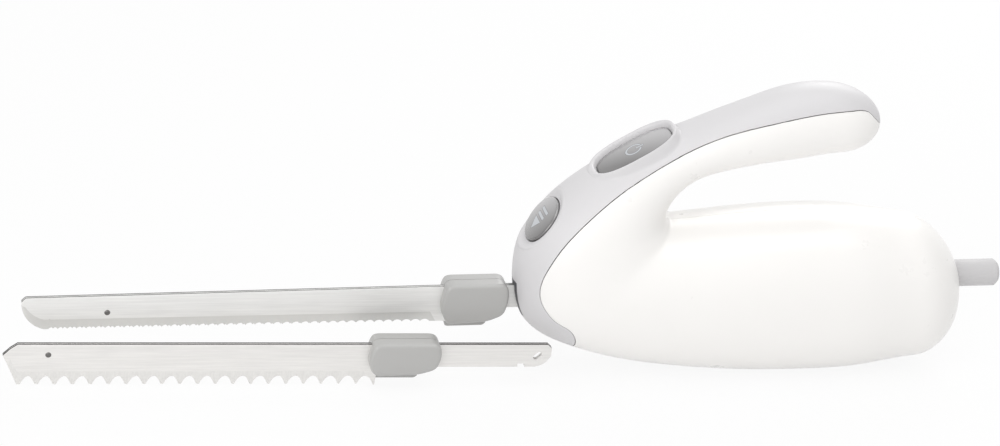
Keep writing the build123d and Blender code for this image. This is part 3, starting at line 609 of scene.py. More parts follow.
def moulded(name, colour, rough, grain=0.02, coat=0.0, shift=0.03):
    """Moulded plastic: a fine orange peel, faint flow marks in the colour, and handling in the gloss."""
    f = Finish(name)
    flow = f.noise(9, 4, 0.55)
    smudge = f.noise(38, 5, 0.6)
    tint = f.between(f.ramp(flow, 0.35, 0.65), darker(colour, 1 - shift), colour)
    gloss = f.ramp(smudge, 0.3, 0.7, rough * 0.88, rough * 1.14)
    normal = f.bump(f.noise(240, 2, 0.5), grain)
    return f.surface(tint, gloss, 0, normal, coat=coat, coat_rough=0.12)


def ground(name, colour, rough, stretch):
    """Ground or drawn metal: fine lines along one way, with brighter and duller streaks."""
    f = Finish(name)
    streak = f.noise(700, 4, 0.7, stretch)
    broad = f.noise(60, 3, 0.5)
    tint = f.between(f.ramp(streak, 0.3, 0.7), darker(colour, 0.86), colour)
    gloss = f.ramp(streak * 0.6 + broad * 0.4, 0.35, 0.65, rough * 0.8, rough * 1.25)
    return f.surface(tint, gloss, 1, f.bump(streak, 0.006))


def laminated(name, colour, pitch):
    """A stack of thin sheets: dark lines across X at a pitch in millimetres, over lacquered steel."""
    f = Finish(name)
    along = f.parts(f.place())["X"] * (1000 / pitch)
    line = f.ramp(abs(along.math("FRACT", along, 0) - 0.5), 0.38, 0.5)
    tint = f.between(line, colour, darker(colour, 0.5))
    return f.surface(tint, f.ramp(f.noise(120), 0.3, 0.7, 0.35, 0.5), 0.6, f.bump(1 - line, 0.05))


def wound(name, colour, pitch):
    """Enamelled wire: round turns side by side across the coil, as a sine of 2 pi times the place over the
    pitch in millimetres, with painted shade that darkens the grooves between the turns."""
    f = Finish(name)
    across = f.parts(f.place((1, 1, 1), (0.5, 0.3, 0.2)))["Z"] * (6283 / pitch)
    height = across.math("SINE", across, 0) * 0.5 + 0.5
    # painted shade: the colour darkens in the grooves between the turns
    tint = f.between(height, darker(colour, 0.45), colour)
    return f.surface(tint, f.ramp(f.noise(200), 0.3, 0.7, 0.22, 0.34), 0.7, f.bump(height, 0.08))


white_shell = moulded("white_gloss_plastic", (0.92, 0.905, 0.885), 0.30, 0.01, 0.15, 0.012)
grey_cover = moulded("pale_grey_satin_plastic", (0.67, 0.66, 0.67), 0.42, 0.015, 0.0, 0.015)
guard_grey = moulded("cool_grey_guard_plastic", (0.45, 0.447, 0.437), 0.32, 0.015, 0.2, 0.03)
dark_bezel = moulded("dark_grey_bezel_plastic", (0.10, 0.10, 0.11), 0.5, 0.03)
black_plastic = moulded("black_inner_plastic", (0.02, 0.02, 0.022), 0.45, 0.03, 0, 0.2)
filled_nylon = moulded("glass_filled_nylon", (0.15, 0.155, 0.165), 0.55, 0.05, 0, 0.12)
natural_nylon = moulded("natural_nylon", (0.72, 0.70, 0.60), 0.38, 0.02, 0, 0.05)
pale_sleeve = moulded("pale_grey_sleeve_rubber", (0.60, 0.59, 0.595), 0.55, 0.03, 0, 0.04)
carbon_dull = moulded("carbon_brush", (0.018, 0.018, 0.018), 0.7, 0.05, 0, 0.3)
wire_sheath = moulded("red_wire_sheath", (0.35, 0.03, 0.02), 0.4, 0.02, 0, 0.1)
shaft_steel = ground("turned_shaft_steel", (0.55, 0.55, 0.57), 0.26, (0.05, 1, 1))
# painted shade: the rivet steel is painted dark so that the rivets read as the shade in their dimples
painted_shade_rivet_steel = ground("turned_rivet_steel_painted_shade", (0.20, 0.195, 0.19), 0.38, (1, 0.2, 1))
plain_brass = ground("plain_brass", (0.72, 0.53, 0.22), 0.3, (0.2, 1, 1))
core_sheets = laminated("laminated_core", (0.16, 0.16, 0.18), 0.5)
copper_wire = wound("enamelled_copper", (0.62, 0.25, 0.09), 0.45)


def silver_button(name, mark):
    """Silver lacquer over plastic with painted light: a painted highlight that pales it towards the upper end
    and the right side, and painted shade towards the other end and side. It has a paler mark edged in a
    darker grey. Places on the button are in millimetres: a along it, b across it, from its map."""
    f = Finish(name)
    a, b = f.mapped()
    fleck = f.noise(2600, 2, 0.7)
    shade = f.noise(30, 3)
    # painted light: a ramp from painted shade at one end and side to a painted highlight at the other
    painted_light_fade = f.ramp(a * 0.45 + b * 0.7 + fleck * 3, -8, 13)
    base = f.between(painted_light_fade, (0.19, 0.185, 0.185), (0.52, 0.515, 0.52))
    ink = mark(f, a, b)
    tint = f.between(f.ramp(ink, 0.0, 0.45), base, (0.16, 0.16, 0.165))
    tint = f.between(f.ramp(ink, 0.5, 0.9), tint, (0.52, 0.54, 0.57))
    gloss = f.ramp(shade, 0.3, 0.7, 0.22, 0.27)
    return f.surface(tint, gloss, 0.55, f.bump(f.noise(240, 2), 0.006), coat=0.6, coat_rough=0.1)


def length_of(f, x, y):
    """The length of a flat vector, as a value."""
    joined = f.node("ShaderNodeCombineXYZ", {}, {0: x, 1: y})["Vector"]
    return f.node("ShaderNodeVectorMath", {"operation": "LENGTH"}, {0: joined})["Value"]


def ring_and_bar(f, a, b):
    """The common sign for on and off: an open ring with a bar in its gap."""
    ring = f.ramp(abs(length_of(f, a, b) - 4.0), 0.4, 0.9, 1, 0)
    gap = f.ramp(abs(b), 1.1, 1.4) * (a > 0) + (a < 0)
    bar = f.ramp(abs(b), 0.4, 0.8, 1, 0) * f.ramp(abs(a - 3.4), 2.0, 2.4, 1, 0)
    return bar.math("MAXIMUM", ring * gap, bar)


def triangle_and_bars(f, a, b):
    """The common sign for letting go: a triangle that points forward, with two bars behind it."""
    reach = a + 7.4
    triangle = f.ramp(abs(b) - reach * 0.75, -0.5, 0.3, 1, 0) * f.ramp(a, -1.3, -0.8, 1, 0)
    bars = f.ramp(abs(a - 1.2), 0.6, 1.2, 1, 0) + f.ramp(abs(a - 4.4), 0.6, 1.2, 1, 0)
    bars = bars * f.ramp(abs(b), 4.4, 4.9, 1, 0)
    return bars.math("MAXIMUM", triangle, bars)


power_silver = silver_button("power_button_lacquer", ring_and_bar)
release_silver = silver_button("release_button_lacquer", triangle_and_bars)


def blade_finish(name, steel, grind_low, grind_high, shade, back):
    """Stainless blade: lengthwise brushing on the flat, finer upright grinding lines on the bevel, and a
    back painted dark as painted shade. The map holds the place along the blade and the height over its edge."""
    f = Finish(name)
    height = f.mapped()[1]
    bevel = f.ramp(height, grind_low, grind_high, 1, 0)
    # painted shade: the back of the blade is painted dark
    painted_shade_spine = f.ramp(height, flat_mark + 6, back_mark - 6)
    brushed = f.noise(900, 4, 0.7, (0.03, 1, 1))
    upright = f.noise(1500, 3, 0.7, (1, 1, 0.06))
    broad = f.noise(25, 3, 0.5, (0.3, 1, 1))
    lines = brushed * (1 - bevel) + upright * bevel
    flat = f.between(f.ramp(lines, 0.3, 0.7), darker(steel, 0.89), steel)
    tint = f.between(bevel * shade, flat, (0.70, 0.695, 0.675))
    tint = f.between(painted_shade_spine, tint, back)
    gloss = f.ramp(lines * 0.7 + broad * 0.3, 0.35, 0.65, 0.36, 0.5)
    return f.surface(tint, gloss, 0.65, f.bump(lines, 0.006))


# the last colour of each blade steel is its back, painted dark as painted shade
blade_steel = blade_finish("ground_blade_steel", (0.92, 0.915, 0.90), 5.6, 5.9, 0.8, (0.22, 0.22, 0.215))
saw_steel = blade_finish("ground_saw_steel", (0.85, 0.835, 0.815), 7.4, 7.8, 0.3, (0.035, 0.033, 0.032))


# Housings and cover

dense = np.linspace(*body_poles, fine_steps)
cover_ends = np.linspace(dense[seam_turn(dense, seam_gap / 2) > 0][-1] - 1, body_poles[1], fine_steps)
cover_end = cover_ends[seam_turn(cover_ends, seam_gap / 2) > 0][-1]
housing_start = dense[seam_turn(dense, -seam_gap / 2) < 2][0]

cover_rows = closer_rows(body_poles[0], cover_end, (1,))
cover_turn = seam_turn(cover_rows, seam_gap / 2)
cover_turn[-1] = 0
housing_front = closer_rows(housing_start, cover_end, (0, 1))
housing_rows = np.unique(np.concatenate([housing_front, closer_rows(cover_end, body_poles[1], (0,))]))
housing_turn = seam_turn(housing_rows, -seam_gap / 2)
housing_turn[0] = 2


def button_frame(button):
    """Puts places (a, b, c) of a button's plane, along it, across it and outwards, into the knife's frame."""
    angle = math.radians(button["turn"])
    along = np.array([math.cos(angle), 0, math.sin(angle)])
    out = np.array([-math.sin(angle), 0, math.cos(angle)])
    start = np.array([button["x"], 0, button["z"]])

    def place(points):
        p = np.asarray(points, dtype=float)
        return start + p[..., :1] * along + p[..., 1:2] * (0, 1, 0) + p[..., 2:] * out

    return place, start, along, out


def height_over(button, a, b):
    """The body's height over a button's plane at (a, b), and how much a depth square to the surface grows
    when it is measured square to the plane. The closest point of a rough grid, of those not far under the
    plane, starts Newton's steps, which find where on the body the place (a, b) lies."""
    lowest = -22
    steps = 7
    most_grown = 1.5
    _, start, along, out = button_frame(button)
    shape = np.shape(a)
    target = np.stack([np.ravel(a), np.ravel(b)], -1)

    def local(q, v):
        d = body_surface(q, v) - start
        return np.stack([d @ along, d[..., 1], d @ out], -1)

    along_rows, across_rows = np.linspace(0, cover_end, 260), np.linspace(-1.25, 1.25, 61)
    rough_q, rough_v = np.meshgrid(along_rows, across_rows, indexing="ij")
    rough = local(rough_q, rough_v).reshape(-1, 3)
    front = rough[:, 2] > lowest
    rough, rough_q, rough_v = rough[front], rough_q.ravel()[front], rough_v.ravel()[front]
    near = np.argmin(((rough[None, :, :2] - target[:, None]) ** 2).sum(-1), axis=1)
    q, v = rough_q[near], rough_v[near]
    tiny = 1e-3
    for _ in range(steps):
        now = local(q, v)
        dq = (local(q + tiny, v) - now) / tiny
        dv = (local(q, v + tiny) - now) / tiny
        miss = target - now[:, :2]
        det = dq[:, 0] * dv[:, 1] - dv[:, 0] * dq[:, 1]
        q = q + (miss[:, 0] * dv[:, 1] - dv[:, 0] * miss[:, 1]) / det
        v = v + (dq[:, 0] * miss[:, 1] - miss[:, 0] * dq[:, 1]) / det
    normal = np.cross(dq, dv)
    grow = np.minimum(np.linalg.norm(normal, axis=-1) / np.abs(normal[:, 2]), most_grown)
    return now[:, 2].reshape(shape), grow.reshape(shape)


def round_way(button, count):
    """Points (a, b) of the curve |a|^n + |b|^n = 1, where n says how full the oval is. 2 is an ellipse."""
    t = np.linspace(0, 2 * math.pi, count, endpoint=False)
    way = np.stack([np.cos(t), np.sin(t)], -1)
    return np.sign(way) * np.abs(way) ** (2 / button["full"])


def oval(button, grow, count):
    """Outlines round a button: its oval grown at the sides, and at the ends by that times its stretch."""
    way = round_way(button, count)
    grow = np.asarray(grow, dtype=float)[..., None]
    ends = slide_gap + (grow - slide_gap) * button["stretch"]
    return np.stack([(button["long"] + ends) * way[:, 0], (button["wide"] + grow) * way[:, 1]], -1)


def dish_cutter(button):
    """A cutter: an oval prism across the body's wall, as far as the button's dish reaches."""
    place = button_frame(button)[0]
    outline = oval(button, button["reach"], 120)
    return prism(outline, *button["cut"], lambda p: on_knife(place(p)))


def box(low, high):
    """A closed box in the knife's frame, between two corners."""
    (x0, y0, z0), (x1, y1, z1) = low, high
    outline = [(x0, y0), (x1, y0), (x1, y1), (x0, y1)]
    return prism(outline, z0, z1, on_knife)


def turned_y(x, z, profile):
    """A lathed form about a line along Y at (x, z) of the knife's frame."""
    return turned(profile, 40, lambda p: on_knife(np.stack([x + p[..., 0], p[..., 2], z + p[..., 1]], -1)))


def turned_x(z, profile):
    """A lathed form about a line along X at the height z of the knife's frame."""
    return turned(profile, 72, lambda p: on_knife(np.stack([p[..., 2], p[..., 0], z + p[..., 1]], -1)))


def bar(radius, start, end):
    """The profile of a closed round bar."""
    return [(0, start), (radius, start), (radius, end), (0, end)]


smooth_below = 32
cover_sides = cover_turn[:, None]
cover_skin = skin(cover_rows, cover_sides * (2 * outer_share - 1), cover_sides * (2 * inner_share - 1))
cover = make("grip_cover", [cover_skin], "body", grey_cover, ("top_cover",), smooth_below)
opening = box(
    (opening_front, -opening_half, drive_z - opening_rise),
    (opening_rear, opening_half, drive_z + opening_rise),
)
cut(cover, [dish_cutter(power), dish_cutter(release), opening], grey_cover, smooth_below)

screws = [(x * body_length, z * body_height) for x, z in screw_places]
parting = 0.05
sleeve_hole = bar(sleeve_radius + sleeve_play, rear_end - 24, rear_end + 10)
seam_v = housing_turn[:, None]
half_skin = skin(housing_rows, seam_v + (2 - seam_v) * outer_share, seam_v + (2 - seam_v) * inner_share)
for side, name, node in ((-1, "left_shell", "left_housing"), (1, "right_shell", "right_housing")):
    half = (half_skin[0] * (1, side, 1) + (0, side * parting / 1000, 0), half_skin[1])
    shell = make(name, [half], "body", white_shell, (node,), smooth_below)
    cutters = [turned_x(sleeve_z, sleeve_hole)]
    if side > 0:
        cutters += [turned_y(x, z, bar(screw_hole, boss_start, past_wall)) for x, z in screws]
    cut(shell, cutters, white_shell, smooth_below)


def screw_wells():
    """Bosses behind the screw holes of the right shell: each a tube whose floor carries the screw's head, and
    whose rim follows the wall."""
    rows, columns = screw_grid
    q, v = np.meshgrid(np.linspace(*body_poles, rows), np.linspace(0.01, 1.99, columns), indexing="ij")
    surface = body_surface(q, v).reshape(-1, 3)
    seat = boss_start + boss_floor
    profile = [(screw_hole, past_wall), (boss_radius, past_wall), (boss_radius, boss_start)]
    profile += [(screw_stem, boss_start), (screw_stem, seat), (screw_hole, seat), (screw_hole, past_wall)]
    parts = []
    for x, z in screws:
        near = surface[(surface[:, 0] - x) ** 2 + (surface[:, 2] - z) ** 2 < screw_near**2]

        def spot(p, x=x, z=z, near=near):
            across, up = x + p[..., 0], z + p[..., 1]
            gaps = (near[:, 0] - across[..., None]) ** 2 + (near[:, 2] - up[..., None]) ** 2
            inside = near[np.argmin(gaps, axis=-1), 1] - boss_cover
            return on_knife(np.stack([across, np.minimum(p[..., 2], inside), up], -1))

        parts.append(turned(profile, 40, spot))
    return parts


make("screw_bosses", screw_wells(), "body", white_shell)


# Buttons and their dishes


def collar(button, profile):
    """A dish round a button. Its section is carried round the oval and closed under the cover. Each place of
    the section is a growth of the oval, a height, and how much of the body's own height is added to that."""
    profile = np.array(profile + profile[:1])
    outline = oval(button, profile[:, 0], button_round)
    a, b = outline[..., 0], outline[..., 1]
    c, grow = height_over(button, a, b)
    height, share = profile[:, 1:2], profile[:, 2:]
    lean = button["tilt"] * a * (1 - share)
    points = np.stack([a, b, share * c + height * (1 + share * (grow - 1)) + lean], -1)
    return on_knife(button_frame(button)[0](points)), ring_faces(len(profile), button_round)


def edge_rows(reach):
    """The outer edge of a dish: a short wall under the cover's cut edge, and a chamfer at the surface."""
    return [(reach, -2.0, 1), (reach, -0.1, 1), (reach - 0.08, 0, 1)]


def blend_rows(start, end, level, count):
    """Rows from the body's surface to a level of the button's plane, on the curve 3s^2 - 2s^3."""
    s = np.linspace(0, 1, count + 2)[1:]
    share = 1 - (3 * s * s - 2 * s**3)
    return [(start + (end - start) * t, level * (1 - k), k) for t, k in zip(s, share)]


def well_rows(level):
    """The wall that the button slides in, and the back of the dish."""
    foot = -6.0
    inner = [(0.34, -0.25), (slide_gap, -0.6), (slide_gap, foot), (2.1, foot), (2.2, -1.6)]
    return [(grow, level + drop, 0) for grow, drop in inner]


# the power button's rim lies just under its plane, and a lip runs from it down to the well
rim = -0.3
power_lip = [(1.75, 0.04), (1.3, 0.22), (0.95, 0.6), (0.72, 1.15), (0.58, 1.8)]
power_section = edge_rows(power["reach"]) + blend_rows(power["reach"] - 0.2, 2.1, rim, 9)
power_section += [(grow, rim - drop, 0) for grow, drop in power_lip] + well_rows(power["level"])
# the release button's dish runs straight down to a well that starts under the button's top
well_top = release["level"] - 1.1
release_section = edge_rows(release["reach"]) + blend_rows(release["reach"] - 0.15, 0.5, well_top, 12)
release_section += well_rows(well_top)
for name, button, section in (
    ("power_dish", power, power_section),
    ("release_dish", release, release_section),
):
    make(name, [collar(button, section)], "body", grey_cover, sharp=60)


def push_button(button):
    """A button: ovals that grow from the middle of its low dome to a rounded edge, then its side and its
    underside. Returns its grid and each point's place (a, b) for the mark."""
    edge_radius = 0.8
    share = np.concatenate([np.linspace(0, 0.9, 14), [0.94]])
    top = np.column_stack([share, np.zeros_like(share), np.zeros_like(share)])
    inset = np.array([edge_radius, 0.5, 0.27, 0.1, 0.02, 0.0])
    drop = np.sqrt(edge_radius**2 - (edge_radius - inset) ** 2) - edge_radius
    edge = np.column_stack([np.ones(len(inset)), inset, drop])
    rows = np.concatenate([top, edge])
    way = round_way(button, button_round)
    a = (button["long"] - rows[:, 1:2]) * rows[:, :1] * way[:, 0]
    b = (button["wide"] - rows[:, 1:2]) * rows[:, :1] * way[:, 1]
    c = button["level"] + rows[:, 2:] + button_dome * (1 - rows[:, :1] ** 2) + button["tilt"] * a
    upper = np.stack([a, b, c], -1)
    side = upper[-1] * (1, 1, 0) + (0, 0, -button_thick)
    under = side * (0, 0, 1)
    grid = np.concatenate([upper, side[None], under[None]])
    return on_knife(button_frame(button)[0](grid)), ring_faces(len(grid), button_round), grid[..., :2]


for name, node, button, material in (
    ("power_key", "power_button", power, power_silver),
    ("release_key", "release_button", release, release_silver),
):
    points, faces, places = push_button(button)
    make(name, [(points, faces)], node, material, (node,), sharp=50, places=places)


# Blades


def arc_through(p, q, r, count):
    """Points of the circle through three points, from the first to the last."""
    (x1, y1), (x2, y2), (x3, y3) = p, q, r
    d = 2 * (x1 * (y2 - y3) + x2 * (y3 - y1) + x3 * (y1 - y2))
    s1, s2, s3 = x1 * x1 + y1 * y1, x2 * x2 + y2 * y2, x3 * x3 + y3 * y3
    cx = (s1 * (y2 - y3) + s2 * (y3 - y1) + s3 * (y1 - y2)) / d
    cy = (s1 * (x3 - x2) + s2 * (x1 - x3) + s3 * (x2 - x1)) / d
    a, b, c = (math.atan2(y - cy, x - cx) for x, y in (p, q, r))
    b += 2 * math.pi * round((a - b) / (2 * math.pi))
    c += 2 * math.pi * round((b - c) / (2 * math.pi))
    t = np.linspace(a, c, count)
    radius = math.hypot(x1 - cx, y1 - cy)
    return np.stack([cx + radius * np.cos(t), cy + radius * np.sin(t)], -1)


def edge_height(x):
    """The straight line that the cutting edge's points follow."""
    share = (guard_front - x) / (guard_front - blade_tip)
    return -blade_edge * (1 - share * (1 - taper))


def carving_edge(phase):
    """The lower outline of a mounted blade, from tip to tang: a round tip, then scallops that are arcs."""
    top_tip = blade_top * taper
    edge_tip = -blade_edge * taper
    first = blade_tip + tip_round
    middle = (blade_tip + 0.27 * tip_round, edge_tip + 0.31 * (top_tip - edge_tip))
    tip = arc_through((blade_tip, top_tip - tip_corner), middle, (first, edge_tip), 18)
    tip = tip[tip[:, 0] >= blade_tip - 0.01]
    end = guard_front - scallop_pitch
    count = round((end - first) / scallop_pitch) - 1
    start = first + phase * scallop_pitch
    pitch = (end - start) / count
    half = pitch / 2
    radius = (half**2 + scallop_depth**2) / (2 * scallop_depth)
    u = np.linspace(-1, 1, 11)[:-1]
    bite = np.sqrt(radius**2 - (u * half) ** 2) - (radius - scallop_depth)
    x = start + half + pitch * np.arange(count)[:, None] + u * half
    z = edge_height(x) + bite
    scallops = np.stack([x.ravel(), z.ravel()], -1)
    low = blade_top - tang_height
    inside = (guard_front + guard_rear) / 2
    tail = [(end, edge_height(end)), (inside, edge_height(guard_front)), (inside + 0.4, low)]
    tail += tang_end(tang_reach, low)
    return np.concatenate([tip, scallops, tail])


def tang_end(reach, low):
    """The lower outline of a tang, up to its rounded end."""
    level = [(x, low) for x in np.linspace(0, reach - 8, 12)]
    end = ((-5.5, 0.7), (-3.4, 1.8), (-2, 3), (0, 6))
    return level + [(reach + x, low + z) for x, z in end]


def carving_back(x):
    """The upper outline of a mounted blade."""
    xs = (blade_tip, blade_tip + tip_corner, guard_front, tang_reach - tip_corner, tang_reach)
    zs = (blade_top * taper - tip_corner, blade_top * taper, blade_top, blade_top, blade_top - tip_corner)
    return np.interp(x, xs, zs)


def saw_edge(phase):
    """The lower outline of a spare blade: a slanted tip, then teeth between gullets, each a Bezier arch."""
    tip = -spare_guard - spare_reach
    first = tip + 7
    last = 2 - spare_guard
    count = round((last - first) / spare_pitch)
    pitch = (last - first) / (count + phase)
    flat = pitch * 0.08
    gullet = pitch - flat
    t = np.linspace(0, 1, 17)
    m = 1 - t
    arch_x = gullet * (3 * m * m * t * 0.3 + 3 * m * t * t * 0.7 + t**3)
    arch_z = 4 * spare_tooth * m * t
    start = first + flat + phase * pitch
    x = start + pitch * np.arange(count)[:, None] + arch_x
    z = np.broadcast_to(arch_z, x.shape)
    low = spare_height - tang_height
    end = x[-1, -1] + flat
    head = [(tip, spare_height - 6), (tip + 3.5, (spare_height - 6) / 2), (first, 0)]
    tail = [(end, 0), (end + flat, 7), (-spare_guard / 2, 7), (-spare_guard / 2 + 0.4, low)]
    tail += tang_end(spare_tang, low)
    return np.concatenate([head, np.stack([x.ravel(), z.ravel()], -1), tail])


def saw_back(x):
    """The upper outline of a spare blade."""
    tip = -spare_guard - spare_reach
    xs = (tip, tip + 6, spare_tang - tip_corner, spare_tang)
    return np.interp(x, xs, (spare_height - 6, spare_height, spare_height, spare_height - tip_corner))


def blade_form(edge, back, base, tip, bevel, bevel_end, side, place):
    """A ground blade: at each place along it, a ring over the flat inner face, the back, the outer face and
    the bevel, which thins in proportion to the height over the edge's line. Over the tip's length that line
    follows the outline. Returns its grid and its map: the place along it, and the height or the back's
    mark."""
    x, low = edge[:, 0], edge[:, 1]
    keep = np.concatenate([[True], np.diff(x) > 1e-4])
    x, low = x[keep], low[keep]
    high = np.maximum(back(x), low + 0.02)
    line = np.minimum(base(x), high)
    line = np.where(x < x[0] + tip, np.maximum(line, low), line)
    grind = bevel * np.clip((bevel_end - x) / 3, 0, 1)
    grind = np.minimum(grind, 0.55 * (high - line)) + 1e-3
    y0, y1 = blade_in, blade_in + blade_thick
    # the thickness left at the edge, the bevel's height under which there is none, and the back's rounding
    thin = 0.16
    blunt = 0.02
    back_round = 0.12

    def outside(z):
        share = np.clip((z - line) / grind, 0, 1)
        return np.where(grind < blunt, y1, y0 + thin + (y1 - y0 - thin) * share)

    rise = high - low
    soft = np.minimum(back_round, rise * 0.2)
    bend = np.clip(line + grind, low + rise * 0.05, high - soft)
    ring = [
        (y0 + 0 * x, low),
        (y0 + 0 * x, low + rise * 0.5),
        (y0 + 0 * x, high - soft),
        (y0 + soft, high),
        (y1 - soft, high),
        (y1 + 0 * x, high - soft),
        (y1 + 0 * x, bend + (high - soft - bend) * 0.5),
        (y1 + 0 * x, bend + np.minimum(0.15, (high - soft - bend) * 0.3)),
    ]
    ring += [(outside(z), z) for z in (bend, bend + (low - bend) * 0.35, bend + (low - bend) * 0.7, low)]
    y = np.stack([r[0] for r in ring], -1) * side
    z = np.stack([r[1] for r in ring], -1)
    grid = np.stack([np.broadcast_to(x[:, None], z.shape), y, z], -1)
    first, last = (end.mean(axis=1, keepdims=True) + 0 * end for end in (grid[:1], grid[-1:]))
    grid = np.concatenate([first, grid, last])
    row_line = np.concatenate([line[:1], line, line[-1:]])
    row_grind = np.concatenate([grind[:1], grind, grind[-1:]])
    height = grid[..., 2] - row_line[:, None]
    ground_height = height * bevel / np.maximum(row_grind[:, None], blunt)
    height = np.clip(np.where(row_grind[:, None] < blunt, flat_mark, ground_height), -2, flat_mark)
    height[:, 3:5] = back_mark
    places = np.stack([grid[..., 0], height], -1)
    return place(grid), ring_faces(len(grid), len(ring)), places


def slot_outline(x, z, reach, radius, turn):
    """An oblong: two half circles about points that lie apart, turned by an angle."""
    t = np.linspace(-math.pi / 2, math.pi / 2, half_round)
    right = np.stack([reach / 2 + radius * np.cos(t), radius * np.sin(t)], -1)
    loop = np.concatenate([right, -right])
    c, s = math.cos(turn), math.sin(turn)
    return np.stack([x + loop[:, 0] * c - loop[:, 1] * s, z + loop[:, 0] * s + loop[:, 1] * c], -1)


def across(place):
    """Puts an outline of the side view, with levels across it, into a blade's frame."""
    return lambda p: place(np.stack([p[..., 0], p[..., 2], p[..., 1]], -1))


def tang_cutters(reach, high, rivet, place):
    """The slanted hole and the lower notch near a tang's end, and the slot that the rivet slides in."""
    low = high - tang_height
    hole = slot_outline(reach - 7, (high + low) / 2, 2.4, 1.3, math.pi / 4)
    x = reach - 15
    notch = [(x - 1.8, low - 3), (x + 1.8, low - 3), (x + 1.8, low + 1.8), (x - 1.8, low + 1.8)]
    outlines = [hole, notch]
    if rivet:
        outlines.append(slot_outline(*rivet, 12, 1.5, 0))
    return [prism(outline, -4, 4, across(place)) for outline in outlines]


def make_blade(name, node, body, form, holes, steel):
    """A blade from its form, with the holes of its tang cut out."""
    points, faces, places = form
    piece = make(name, [(points, faces)], body, steel, (node,), sharp=25, places=places)
    cut(piece, holes, steel, sharp=25)


carving_rivet = (blade_tip + rivet_inset, (blade_top - blade_edge) / 2)
spare_rivet = (-spare_guard - spare_reach + spare_rivet_inset, spare_height * 0.75)
for side, phase, name, node in (
    (1, 0, "far_carving_blade", "right_blade"),
    (-1, 0.5, "near_carving_blade", "left_blade"),
):
    lines = (carving_edge(phase), carving_back, edge_height)
    form = blade_form(*lines, tip=14, bevel=5.7, bevel_end=guard_front, side=side, place=on_knife)
    holes = tang_cutters(tang_reach, blade_top, carving_rivet if side > 0 else None, on_knife)
    make_blade(name, node, node, form, holes, blade_steel)
for side, phase, name, body in (
    (1, 0, "far_frozen_food_blade", "spare_right"),
    (-1, 0.12, "near_frozen_food_blade", "spare_left"),
):
    lines = (saw_edge(phase), saw_back, np.zeros_like)
    form = blade_form(*lines, tip=6.9, bevel=7.6, bevel_end=-spare_guard, side=side, place=on_spare)
    holes = tang_cutters(spare_tang, spare_height, spare_rivet if side > 0 else None, on_spare)
    make_blade(name, body + "_blade", body, form, holes, saw_steel)


def rivet(x, z, place):
    """A rivet: its stem, and on each side a washer and a low head with a dimple, carried round a circle."""
    out = blade_in + blade_thick
    head = [(0, 0.42), (0.35, 0.5), (0.8, 0.52), (1.1, 0.4), (1.2, 0.2)]
    washer = [(1.35, 0.14), (1.45, 0.06), (1.45, 0.01), (1.2, 0.01)]
    near = [(r, -out - rise) for r, rise in head + washer]
    far = [(r, -y + slide_gap) for r, y in near[::-1]]

    def spot(p):
        return across(place)(np.stack([x + p[..., 0], z + p[..., 1], p[..., 2]], -1))

    return turned(near + far, 48, spot)


for name, spot, place, body, node in (
    ("carving_rivet", carving_rivet, on_knife, "left_blade", "blade_rivet"),
    ("frozen_food_rivet", spare_rivet, on_spare, "spare_left", "spare_blade_rivet"),
):
    make(name, [rivet(*spot, place)], body, painted_shade_rivet_steel, (node,))


# Guards

guard_outline = (
    (0.12, 0),
    (0.04, 0.16),
    (0, 0.46),
    (0.05, 0.88),
    (0.11, 1),
    (0.92, 1),
    (1, 0.84),
    (1, 0.5),
    (0.94, 0.2),
    (0.70, 0.05),
)


def rounded(corners, radius):
    """A closed outline whose corners are quadratic Bezier bends, which start a radius or less from them."""
    corners = np.asarray(corners, dtype=float)
    before = np.roll(corners, 1, axis=0) - corners
    after = np.roll(corners, -1, axis=0) - corners
    reach_before = np.minimum(radius, np.hypot(*before.T) * 0.45)[:, None]
    reach_after = np.minimum(radius, np.hypot(*after.T) * 0.45)[:, None]
    start = corners + before / np.hypot(*before.T)[:, None] * reach_before
    end = corners + after / np.hypot(*after.T)[:, None] * reach_after
    t = np.linspace(0, 1, corner_round)[None, :, None]
    bend = (1 - t) ** 2 * start[:, None] + 2 * t * (1 - t) * corners[:, None] + t**2 * end[:, None]
    return bend.reshape(-1, 2)


def pillow(outline, y_in, y_out, edge, crown, side, place):
    """A closed half form: an outline that stands up from its flat inner face, rounds over an edge radius, and
    crowns to the middle of its outer face."""
    outline = np.asarray(outline)
    along = np.roll(outline, -1, axis=0) - np.roll(outline, 1, axis=0)
    along /= np.hypot(*along.T)[:, None]
    inward = np.stack([-along[:, 1], along[:, 0]], -1)
    centre = outline.mean(axis=0)
    inward *= np.sign(((centre - outline) * inward).sum(-1))[:, None]
    rings = [(centre + 0 * outline, y_in), (outline, y_in), (outline, y_out - edge)]
    for angle in np.radians((15, 30, 45, 60, 75, 90)):
        rings.append((outline + inward * edge * (1 - math.cos(angle)), y_out - edge + edge * math.sin(angle)))
    last = rings[-1][0]
    for share in (0.85, 0.65, 0.45, 0.25, 0.0):
        rings.append((centre + (last - centre) * share, y_out + crown * (1 - share**2)))
    grid = np.stack([np.stack([r[:, 0], 0 * r[:, 0] + y * side, r[:, 1]], -1) for r, y in rings])
    return place(grid), ring_faces(len(grid), len(outline))


def guard(x0, x1, low, high, side, place):
    """Half a guard moulded on its blade. The far half also has the foot lip."""
    corners = [(x0 + x * (x1 - x0), low + z * (high - low)) for x, z in guard_outline]
    half = rounded(corners, 3.2)
    parts = [pillow(half, blade_in, guard_half, edge=2.0, crown=0.35, side=side, place=place)]
    if side > 0:
        front, rear = x0 + 0.10 * (x1 - x0), x0 + 0.72 * (x1 - x0)
        corners = [(front, low + 6), (front, low - 3.2), (front + 1.2, low - 3.8)]
        corners += [(rear - 1.6, low - 3.8), (rear, low - 2.4), (rear, low + 6)]
        lip = rounded(corners, 1)
        parts.append(pillow(lip, blade_in, blade_in + 3.2, edge=0.5, crown=0, side=side, place=place))
    return parts


